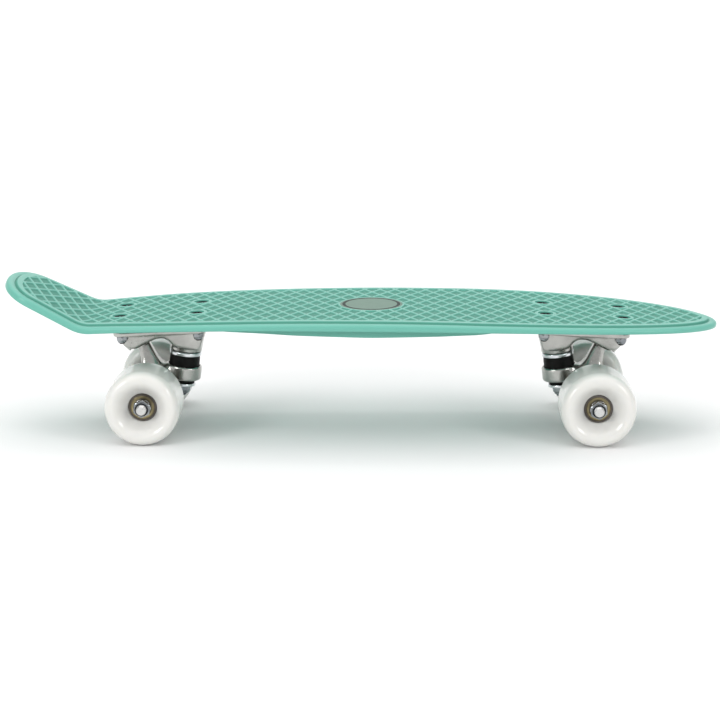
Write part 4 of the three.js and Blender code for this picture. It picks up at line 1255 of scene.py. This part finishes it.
# %% Hanger
hanger_half = 39.7
shoulder_half = 27.0
bar_radius, end_radius, stub_radius = 8.3, 7.2, 5.3
stub_top, stub_length = 7.1, 13
ring_bore, axle_bore = 7.6, 4.25
yoke_shares = np.array([
    [0.42, -0.53], [0.1, -0.62], [-0.5, -0.62], [-0.5, -0.8], [0.17, -0.88], [0.36, -1.05], [0.6, -1.12],
    [1.05, -1.16], [1.6, -1.07], [1.7, -0.9], [1.58, -0.55],
])
stem_shares = np.array([[-0.1, -0.64], [-1.67, -0.04]])
front_shares = np.array([
    [0.19, -0.2], [0.21, -0.36], [0.3, -0.58], [0.52, -0.8], [0.86, -0.9], [1, -0.96], [1, -1.08],
    [0.88, -1.2],
])


def hanger_form(x, y, z):
    """What a side outline and a front outline share, melted with the ring, the bar and the stub."""
    stem = (pivot_outward, -pivot_drop) + stem_shares * stub_radius
    side = np.concatenate([stem, yoke_shares * (axle_outward, axle_drop)])
    side = flat_outlined(x, z, softened(side, 3.0, closed=True))
    left = front_shares * (shoulder_half, axle_drop)
    front = softened(np.concatenate([left, (left * (-1, 1))[::-1]]), 4.0, closed=True)
    front = outlined(y[:1], z[:1], front)
    yoke = shared(side, front, 4.5)
    out = np.abs(y)
    share = np.clip((out - shoulder_half) / (hanger_half - shoulder_half), 0, 1)
    wide = bar_radius + (end_radius - bar_radius) * share
    around_axle = np.hypot(x - axle_outward, z + axle_drop)
    body = melted(yoke, shared(around_axle - wide, out - hanger_half, 0.9), 3.0)
    body = melted(body, rod(x, y, z, kingpin_place, ring_radius, ring_bottom, ring_top, 1.8), 2.5)
    body = melted(body, rod(x, y, z, pivot_place, stub_radius, stub_top - stub_length, stub_top, 1.6), 2.0)
    below, above = ring_bottom - cut_overrun, ring_top + cut_overrun
    for radius, low, high, edge in [
            (board_bushing_radius + seat_gap, web_top, above, 0.5),
            (road_bushing_radius + seat_gap, below, web_bottom, 0.5), (ring_bore, below, above, 0.4)]:
        body = carved(body, rod(x, y, z, kingpin_place, radius, low, high), edge)
    return carved(body, around_axle - axle_bore, 0.4)


hanger = sampled(hanger_form, (-32, -41, -67), (30, 41, -6), casting_step)
print("hanger:", len(hanger.faces), "faces,", f"{hanger.volume() / 1000:.1f} cm3")

# %% [markdown]
# ## Threads, nuts and bolts
# A screw thread is a wave on a cylinder that climbs one pitch for every turn, so it is a function of the
# angle and the height. A bump would do on the flank, but not at the bolt's end, where the thread breaks the
# outline. A hexagon nut is a turned profile whose radius is held by the hexagon's flats, which gives the
# real curved line where the chamfer meets each flat.

# %% Thread
def thread_rings(radius, low, high, pitch, depth, segments=48, thread_from=None, chamfer=0.8):
    """Rings of a rod from a low, threaded end up to a high one.

    The radius is r - d (1 - cos(2 pi (h / p - a / 2 pi))) / 2 where there is a thread, and r above it. Near
    the low end it is held by a chamfer at 45 degrees.
    """
    thread_from = high if thread_from is None else thread_from
    rows = int((thread_from - low) / pitch * 8) + 1
    height = np.concatenate([[low, low + 0.01], np.linspace(low + 0.1, thread_from, rows)])
    if high > thread_from:
        height = np.concatenate([height, [thread_from + 0.2, high]])
    height = height[:, None]
    angle = np.linspace(0, 2 * np.pi, segments, endpoint=False)[None]
    wave = (1 - np.cos(2 * np.pi * height / pitch - angle)) / 2
    fade = np.clip((thread_from - height) / pitch, 0, 1)
    r = radius - depth * wave * fade
    r = np.minimum(r, radius - chamfer + (height - low))
    return np.stack([r * np.cos(angle), r * np.sin(angle), height + 0 * angle], -1)


print("a 10 mm thread at 1 mm pitch has", len(thread_rings(4.0, 0.0, 10.0, 1.0, 0.4)), "rings")

# %% Lock nut
def hexagon(angle, across):
    """Distance from the middle of a hexagon to its side at an angle."""
    return across / 2 / np.cos((angle + np.pi / 6) % (np.pi / 3) - np.pi / 6)


def lock_nut(across, bore, low, high, segments=96):
    """A nut with a round collar at its low end, in which a nylon ring sits. Zone 1 is the nylon.

    Every point's radius is the profile's, or the hexagon's where that is less.
    """
    corner = across / 2 * 1.17
    flat = across / 2 * 0.97
    collar = across / 2 * 0.88
    height = high - low
    waist = low + 0.3 * height
    cone = (corner - flat) * 0.6
    profile = np.array([
        [bore, high - 0.5, 0], [bore + 0.5, high, 0], [flat - 0.1, high, 0], [flat, high - 0.04, 0],
        [flat + (corner - flat) * 0.5, high - cone * 0.5, 0], [corner, high - cone, 0],
        [corner, waist + cone, 0], [flat + (corner - flat) * 0.5, waist + cone * 0.5, 0], [flat, waist, 0],
        [collar + 0.15, waist - 0.05, 0], [collar, waist - 0.25, 0], [collar, low + 0.6, 0],
        [collar - 0.1, low + 0.2, 0], [collar - 0.25, low, 0], [collar - 0.45, low + 0.1, 0],
        [collar - 0.55, low + 0.3, 1], [bore + 0.5, low + 0.3, 1], [bore + 0.1, low + 0.55, 1],
        [bore, low + 1.2, 0],
    ])
    shell = revolved(profile[:, :2], segments, profile[:, 2].astype(int))
    angle = np.arctan2(shell.points[:, 1], shell.points[:, 0])
    reach = np.hypot(shell.points[:, 0], shell.points[:, 1])
    held = np.minimum(reach, hexagon(angle, across)) / reach
    return Shell(shell.points * np.stack([held, held, np.ones_like(held)], -1), shell.faces, shell.zones)


print(f"a hexagon 8 mm across measures {2 * hexagon(np.pi / 6, 8.0):.2f} mm over its corners")

# %% Truck bolt
bolt_radius, bolt_head_radius, bolt_head_height, bolt_head_sink = 2.4, 4.6, 2.6, 0.9
bolt_pitch, bolt_thread_depth, bolt_thread_top, bolt_chamfer = 0.79, 0.35, -2.0, 0.5
cross_depth, cross_half_width, cross_reach = 1.4, 0.62, 2.6
truck_nut_across, truck_nut_height, bolt_end, thread_play = 8.0, 5.0, 1.1, 0.1
bolt_top = pad_thickness - bolt_head_sink
lock_nut_top = -2 * seat_gap - flange_thickness
lock_nut_bottom = lock_nut_top - truck_nut_height
bolt_bottom = lock_nut_bottom - bolt_end


def truck_bolt():
    """A countersunk bolt: a threaded shank, a cone, and a flat head with a tapered cross in it.

    The cross is as deep as 1.4 mm, less where the nearer of |x| and |y| passes half the blade's width, or
    the farther passes the blade's reach.
    """
    segments = 96
    shank = thread_rings(
        bolt_radius, bolt_bottom, bolt_top - bolt_head_height, bolt_pitch, bolt_thread_depth, segments,
        bolt_thread_top, bolt_chamfer)
    cone = np.array([[bolt_head_radius - 0.05, bolt_top - 0.4], [bolt_head_radius, bolt_top - 0.2],
                     [bolt_head_radius - 0.12, bolt_top - 0.03]])
    radius = np.concatenate([cone[:, 0], np.linspace(bolt_head_radius - 0.3, 0.12, 34)])[:, None]
    height = np.concatenate([cone[:, 1], np.full(34, bolt_top)])[:, None]
    angle = np.linspace(0, 2 * np.pi, segments, endpoint=False)[None]
    x, y = radius * np.cos(angle), radius * np.sin(angle)
    low, high = np.minimum(np.abs(x), np.abs(y)), np.maximum(np.abs(x), np.abs(y))
    blade = np.clip((cross_half_width - low) / 0.18, 0, 1) * np.clip((cross_reach - high) / 0.5, 0, 1)
    return tube(np.concatenate([shank, np.stack([x, y, height - cross_depth * blade], -1)]))


truck_nut = lock_nut(truck_nut_across, bolt_radius + thread_play, lock_nut_bottom, lock_nut_top)
bolt = truck_bolt()
print("bolt:", len(bolt.faces), "faces, nut:", len(truck_nut.faces), "faces")

# %% [markdown]
# ## Kingpin stack
# The kingpin holds the truck together. Down from the baseplate come a cup washer, a tall bushing, the
# hanger's ring, a short bushing, a second cup washer and a lock nut. Washers and bushings are turned
# profiles with softened corners. A plain cylinder would do for a bushing at rest, and the real one bends
# with the truck; its wall here has many rows.

# %% Washers and bushings
def cup_washer(radius, height, top):
    """A seat with a turned-down rim: the profile of a shallow cup, open downwards."""
    wall = height * 0.33
    bore = kingpin_radius + seat_gap
    corners = [
        [bore, 0], [bore, -wall], [radius - wall, -wall], [radius - wall, -height], [radius, -height],
        [radius, -wall / 2], [radius - wall, 0],
    ]
    profile = softened(corners, [0.2, 0.2, 0.5, 0.3, 0.3, 0.9, 0.9], closed=True) + (0, top)
    return revolved(profile, 96).placed(kingpin_place)


def bushing(radius, low, high):
    """A barrel: the wall bulges by 1 - (2 h - 1)^2 between two soft edges, in many rows."""
    share = np.linspace(0, 1, 15)
    bulge = 0.25 * (1 - (2 * share - 1) ** 2)
    edge = 0.9
    wall = np.stack([radius - 0.25 + bulge, low + edge + (high - low - 2 * edge) * share], -1)
    lower = [[radius - 1.3, low], [radius - 0.7, low + 0.12], [radius - 0.36, low + 0.5]]
    upper = [[radius - 0.36, high - 0.5], [radius - 0.7, high - 0.12], [radius - 1.3, high]]
    bore = kingpin_radius + seat_gap
    inside = np.stack([np.full(9, bore), np.linspace(high, low, 9)], -1)
    return revolved(np.concatenate([lower, wall, upper, inside]), 96).placed(kingpin_place)


board_washer = cup_washer(12.9, board_washer_height, washer_top)
road_washer = cup_washer(10.7, road_washer_height, road_washer_top)
print("washer:", len(road_washer.faces), "faces")

# %% Kingpin and pivot cup
coarse_pitch = 1.06


def kingpin():
    """A threaded rod, then a hexagon head: the head's rings have the hexagon's distance as their radius."""
    rod_rings = thread_rings(
        kingpin_radius, kingpin_bottom, head_rise - kingpin_head_height, coarse_pitch, 0.5, 96,
        road_washer_bottom, 1.0)
    angle = np.linspace(0, 2 * np.pi, 96, endpoint=False)[None]
    r = hexagon(angle, kingpin_head_across) * np.array([0.96, 1, 1, 0.96])[:, None]
    height = head_rise + np.array([-5.5, -5.2, -0.5, 0])[:, None] + 0 * angle
    head = np.stack([r * np.cos(angle), r * np.sin(angle), height], -1)
    return tube(np.concatenate([rod_rings, head])).placed(kingpin_place)


def pivot_cup():
    """A cup round the stub's end, open downwards, with a small lip at its mouth."""
    bore = stub_radius + seat_gap
    corners = [
        [0, pivot_cup_height], [7.4, pivot_cup_height], [pivot_cup_radius, 0.4], [pivot_cup_radius, 0],
        [bore + 0.5, -0.2], [bore, 0.5], [bore, 7.4], [0, 7.4],
    ]
    return revolved(softened(corners, 0.3), 64).placed(pivot_place)


kingpin_nut = lock_nut(
    kingpin_head_across, kingpin_radius + thread_play, kingpin_nut_bottom, kingpin_nut_top)
kingpin_nut = kingpin_nut.placed(kingpin_place)
print("kingpin:", len(kingpin().faces), "faces, pivot cup:", len(pivot_cup().faces), "faces")

# %% [markdown]
# ## Axle
# One steel rod runs through the hanger's bar, with a thread at each end. On it sit the inner speed washer,
# the inner bearing, a spacer, the outer bearing, the outer speed washer and the axle nut. Each could be
# placed by eye. Adding up widths and gaps from the hanger outwards keeps them from ever running together.

# %% Places along the axle
bearing_radius, bearing_bore, bearing_width, bearing_spacing = 11.0, 4.3, 7.0, 10.0
axle_radius, axle_end, axle_slide = 3.95, 3.7, 0.15
inner_washer_low, inner_washer_high, spacer_play = 0.15, 1.1, 0.1
axle_nut_across, axle_nut_height = 12.7, 6.0
washer_radius, washer_thickness, spacer_radius = 6.6, 1.0, 5.6
inner_bearing_at = hanger_half + washer_thickness + seat_gap
wheel_middle = inner_bearing_at + bearing_width + bearing_spacing / 2
outer_bearing_at = wheel_middle + bearing_spacing / 2
washer_at = outer_bearing_at + bearing_width + seat_gap
axle_nut_at = washer_at + washer_thickness + seat_gap
axle_half = axle_nut_at + axle_nut_height + axle_end
print(f"wheel middle {wheel_middle:.1f} mm out, axle {2 * axle_half:.1f} mm long")

# %% Axle, washers and nut
def axle():
    """Two threaded ends joined by a plain middle, as rings from one end to the other."""
    near = thread_rings(
        axle_radius, -axle_half, -hanger_half, coarse_pitch, 0.45, 48, -outer_bearing_at - 6.0, 0.8)
    far = (near * (1, 1, -1))[::-1]
    return tube(np.concatenate([near, far])).placed(axle_place)


def washer(outer, bore, low, high):
    """A flat ring with soft edges."""
    corners = [[bore, low], [outer, low], [outer, high], [bore, high]]
    return revolved(softened(corners, 0.18, 3, closed=True), 64)


def axle_washers(side):
    """The washer between hanger and bearing, the one between bearing and nut, and the spacer."""
    bore = axle_radius + axle_slide
    inner = washer(
        washer_radius, bore, hanger_half + inner_washer_low, hanger_half + inner_washer_high)
    outer = washer(washer_radius, bore, washer_at, washer_at + washer_thickness)
    spacer_low = inner_bearing_at + bearing_width + spacer_play
    spacer = washer(spacer_radius, bore, spacer_low, outer_bearing_at - spacer_play)
    out = axle_place @ turned("x", 0 if side > 0 else np.pi)
    return [shell.placed(out) for shell in (inner, outer, spacer)]


axle_nut = lock_nut(axle_nut_across, axle_radius + thread_play, 0, axle_nut_height)
axle_nut = axle_nut.placed(turned("x", np.pi)).placed(shifted(z=axle_nut_at + axle_nut_height))
print("axle:", len(axle().faces), "faces, nut:", len(axle_nut.faces), "faces")

# %% [markdown]
# ## Bearings
# A skate bearing shows its outer race, a pressed metal shield with the thin wire clip that holds it, and
# its inner race. The balls are hidden, so it needs no separate rings. One turned profile gives all of it,
# and the shield and its clip have their own finish.

# %% Bearing
def bearing(low):
    """Zone 0 is the races, and 1 the shield with its clip. Both faces have a shield."""
    face = np.array([
        [bearing_bore, 0.4, 0], [bearing_bore + 0.12, 0.12, 0], [bearing_bore + 0.4, 0.0, 0],
        [6.35, 0.0, 0], [6.5, 0.12, 0], [6.55, 0.4, 0], [6.75, 0.5, 1], [6.95, 0.36, 1], [7.6, 0.3, 1],
        [8.6, 0.3, 1], [8.75, 0.42, 1], [8.85, 0.4, 1], [8.98, 0.2, 1], [9.16, 0.16, 1], [9.32, 0.24, 1],
        [9.4, 0.42, 0], [9.46, 0.08, 0], [9.6, 0.0, 0], [10.55, 0.0, 0], [10.88, 0.14, 0], [11.0, 0.5, 0],
    ])
    back = face[::-1].copy()
    back[:, 1] = bearing_width - back[:, 1]
    back[:, 2] = np.roll(face[::-1, 2], -1)
    profile = np.concatenate([face, back])
    profile[:, 1] += low
    return revolved(profile[:, :2], 96, profile[:, 2].astype(int))


print("bearing:", len(bearing(0.0).faces), "faces")

# %% [markdown]
# ## Wheels
# A wheel is one turned profile: a core with a seat for each bearing, a face that rises from the seat in one
# smooth dish, a round lip and a flat tread. A bevelled cylinder would have the lip but not the dish, and
# the dish is what shades the face. The lip catches the light, so it has the most points.

# %% Wheel
def wheel():
    """The profile from the core to the tread, and its mirror image.

    The dish rises by sin(pi / 2 t)^p from the seat's rim to the lip, which is a quarter of an ellipse.
    """
    half = wheel_width / 2
    tread_half, lip_radius, core_bore, dish_power = 13.5, 23.5, 7.4, 1.15
    seat_in, seat_out, seat_radius = 4.7, 12.3, bearing_radius + seat_gap
    rim_of_seat = bearing_radius + 0.6
    angle = np.linspace(0, np.pi / 2, 22)
    lip = np.stack([
        lip_radius + (wheel_radius - lip_radius) * np.sin(angle),
        half - (half - tread_half) * (1 - np.cos(angle)),
    ], -1)
    share = np.linspace(0, 1, 14)[1:-1]
    dish = np.stack([
        rim_of_seat + (lip_radius - rim_of_seat) * share,
        seat_out + (half - seat_out) * np.sin(np.pi / 2 * share) ** dish_power,
    ], -1)
    dish[:, 1] = np.minimum(dish[:, 1], half - 0.02)
    seat = [
        [core_bore, 0], [core_bore, seat_in], [seat_radius, seat_in], [seat_radius, seat_out - 0.4],
        [rim_of_seat, seat_out],
    ]
    outer = np.concatenate([seat, dish, lip])
    inner = (outer[1:] * (1, -1))[::-1]
    return revolved(np.concatenate([outer, inner]), 144)


wheel_shell = wheel()
print("wheel:", len(wheel_shell.faces), "faces")

# %% [markdown]
# ## Both trucks
# Now the same pieces are placed twice, at the tail and at the nose, and most ride on the bodies that move
# them. A truck at the tail is turned half round, so the wheel on its left is the board's right one. The
# bushings are squeezed when the board leans, but here each is one fixed piece that rides on no body, so as
# the hanger steers, its ring cuts through them.

# %% Place a wheel
def place_wheel(end, side, hand, place):
    """A wheel and all that holds it, on the arm of the axle that points to one hand of its truck."""
    way = HANDS[hand]
    out_place = place @ axle_place @ turned("x", 0 if way > 0 else np.pi)
    hand = hand if side > 0 else {"left": "right", "right": "left"}[hand]
    wheel_name, steered, rolling = f"{end}_{hand}", f"{end}_steered", f"{end}_{hand}_rolling"
    inner, outer, spacer = (made.placed(place) for made in axle_washers(way))
    add_piece(f"{wheel_name}_inner_washer", inner, [zinc_bright], steered)
    add_piece(f"{wheel_name}_spacer", spacer, [zinc_dull], steered)
    add_piece(f"{wheel_name}_outer_washer", outer, [zinc_bright], steered,
              [f"{wheel_name}_speed_washer"])
    nut = axle_nut.placed(out_place @ turned("z", 0.35 * side + 0.2 * way))
    add_piece(f"{wheel_name}_axle_lock_nut", nut, [zinc_dull, nylon_dark], steered,
              [f"{wheel_name}_axle_nut"])
    for which, low in (("inner", inner_bearing_at), ("outer", outer_bearing_at)):
        add_piece(f"{wheel_name}_{which}_race", bearing(low).placed(out_place),
                  [race_shaded, shield_yellow], rolling, [f"{wheel_name}_{which}_bearing"])
    add_piece(f"{wheel_name}_wheel_tyre", wheel_shell.placed(out_place @ shifted(z=wheel_middle)),
              [wheel_white], rolling, [f"{wheel_name}_wheel"])


# %% Place the bushings
def kingpin_point(place, height):
    """A point on the kingpin at a height, in metres in the frame."""
    return tuple(((place @ kingpin_place @ (0, 0, height, 1))[:3] * MM).tolist())


def place_bushings(end, place):
    """The two bushings, each one fixed piece on no body, with its place baked into the mesh."""
    steered = f"{end}_steered"
    for name, radius, low, high, bodies in [
            ("board_bushing", board_bushing_radius, board_bushing_bottom, board_bushing_top,
             ("board", steered)),
            ("road_bushing", road_bushing_radius, road_bushing_bottom, road_bushing_top,
             (steered, "board"))]:
        barrel = bushing(radius, low, high).placed(place)
        piece = add_piece(f"{end}_{name}_barrel", barrel, [bushing_black], None, [f"{end}_{name}"])
        kingpin_point(place, high)
        kingpin_point(place, low)
        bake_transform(piece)


high_ends = [kingpin_point(truck_place(side), board_bushing_top) for side in ENDS.values()]
print("bushings' high ends:", np.round(high_ends, 4).tolist())

# %% Place the trucks
for end, side in ENDS.items():
    place = truck_place(side)
    steered = f"{end}_steered"
    add_piece(f"{end}_baseplate_casting", baseplate.placed(place), [cast_grey], "board",
              [f"{end}_baseplate"])
    add_piece(f"{end}_hanger_casting", hanger.placed(place), [cast_grey], steered, [f"{end}_hanger"])
    for corner, (dx, dy) in CORNERS.items():
        at = place @ shifted(dx * bolt_span_along / 2, dy * bolt_span_across / 2, 0)
        add_piece(f"{end}_bolt_cross_{corner}", bolt.placed(at @ turned("z", 0.6 * dx + 0.9 * dy + side)),
                  [bolt_black], "board", [f"{end}_bolt_{corner}"])
        add_piece(f"{end}_lock_nut_{corner}", truck_nut.placed(at @ turned("z", 0.5 * dx - 0.3 * dy)),
                  [zinc_dull, nylon_dark], "board", [f"{end}_bolt_nut_{corner}"])
    for name, made, finishes, node, slot in [
            ("kingpin_bolt", kingpin(), [zinc_dull], "kingpin", "zinc_steel"),
            ("kingpin_lock_nut", kingpin_nut, [zinc_dull, nylon_dark], "kingpin_nut", "zinc_steel"),
            ("pivot_bush", pivot_cup(), [bushing_black], "pivot_cup", "bushing_urethane"),
            ("board_washer", board_washer, [zinc_bright], "board_cup_washer", "zinc_steel"),
            ("road_washer", road_washer, [zinc_bright], "road_cup_washer", "zinc_steel")]:
        add_piece(f"{end}_{name}", made.placed(place), finishes, "board", [f"{end}_{node}"])
    place_bushings(end, place)
    add_piece(f"{end}_axle_rod", axle().placed(place), [axle_steel], steered, [f"{end}_axle"])
    for hand in HANDS:
        place_wheel(end, side, hand, place)

# %% [markdown]
# ## Studio
# The board stands on a pale floor that runs up behind it. Soft lamps light it from above and from both
# sides, and one more lights the wall. Small lamps would be simpler, but would draw hard shadows and hot
# spots on the gloss. The camera stands about 1.65 metres away, not far above the board, and has a long lens
# that keeps the deck's lines nearly parallel.

# %% Floor
def studio_floor():
    """A sweep, carried along x: a floor 60 m wide, a quarter circle up, and a wall."""
    reach, wall_at, wall_height, radius = 30000, 4000, 5000, 1500
    angle = np.linspace(0, np.pi / 2, 24)
    y = np.concatenate([[-reach], wall_at - radius + radius * np.sin(angle), [wall_at]])
    z = np.concatenate([[0], radius * (1 - np.cos(angle)), [wall_height]])
    x = np.array([-reach, reach])
    points = np.stack(np.broadcast_arrays(x[:, None], y[None], z[None]), -1)
    return Shell(points, grid_faces(2, len(y), wrap_columns=False))


floor_finish = Finish("studio_floor", Roughness=0.9)
floor_finish.drive("Base Color", floor_finish.blended(
    floor_finish.noise(3.0), (0.88, 0.88, 0.88, 1), (0.86, 0.86, 0.86, 1)))
floor = add_piece("studio_floor", studio_floor(), [floor_finish.material], None)
print("floor:", len(floor.data.polygons), "faces")

# %% Light
def studio_light(name, place, size, power, aim=(0, 0, 0.05)):
    """A square lamp that points at its aim, or at the middle of the board."""
    lamp = bpy.data.lights.new(name, "AREA")
    lamp.shape, lamp.size, lamp.energy = "SQUARE", size, power
    holder = bpy.data.objects.new(name, lamp)
    bpy.context.scene.collection.objects.link(holder)
    holder.location = place
    away = Vector(place) - Vector(aim)
    holder.rotation_euler = away.to_track_quat("Z", "Y").to_euler()


world = bpy.data.worlds.new("studio")
world.use_nodes = True
sky = world.node_tree.nodes["Background"].inputs
sky["Color"].default_value, sky["Strength"].default_value = (1, 1, 1, 1), 0.62
bpy.context.scene.world = world
bpy.context.scene.view_settings.view_transform = "Standard"
studio_light("top_light", (0.0, 0.1, 1.7), 2.6, 20)
studio_light("left_light", (-1.4, -1.3, 0.8), 0.6, 12)
studio_light("right_light", (1.5, -1.2, 0.8), 0.6, 9)
studio_light("wall_light", (0.0, 1.2, 2.6), 2.0, 55, aim=(0, 4.0, 1.0))
print("lamps:", [lamp.name for lamp in bpy.data.lights])

# %% Camera
camera_data = bpy.data.cameras.new("camera")
camera_data.lens = 101.3
camera_data.sensor_width = 36
camera = bpy.data.objects.new("camera", camera_data)
bpy.context.scene.collection.objects.link(camera)
camera.location = (0.03606, -1.59094, 0.43463)
camera.rotation_euler = (math.pi / 2 - 0.2356, 0.0021, 0.0228)
bpy.context.scene.camera = camera
print(f"camera {np.linalg.norm(camera.location):.2f} m away, with a {camera_data.lens:.0f} mm lens")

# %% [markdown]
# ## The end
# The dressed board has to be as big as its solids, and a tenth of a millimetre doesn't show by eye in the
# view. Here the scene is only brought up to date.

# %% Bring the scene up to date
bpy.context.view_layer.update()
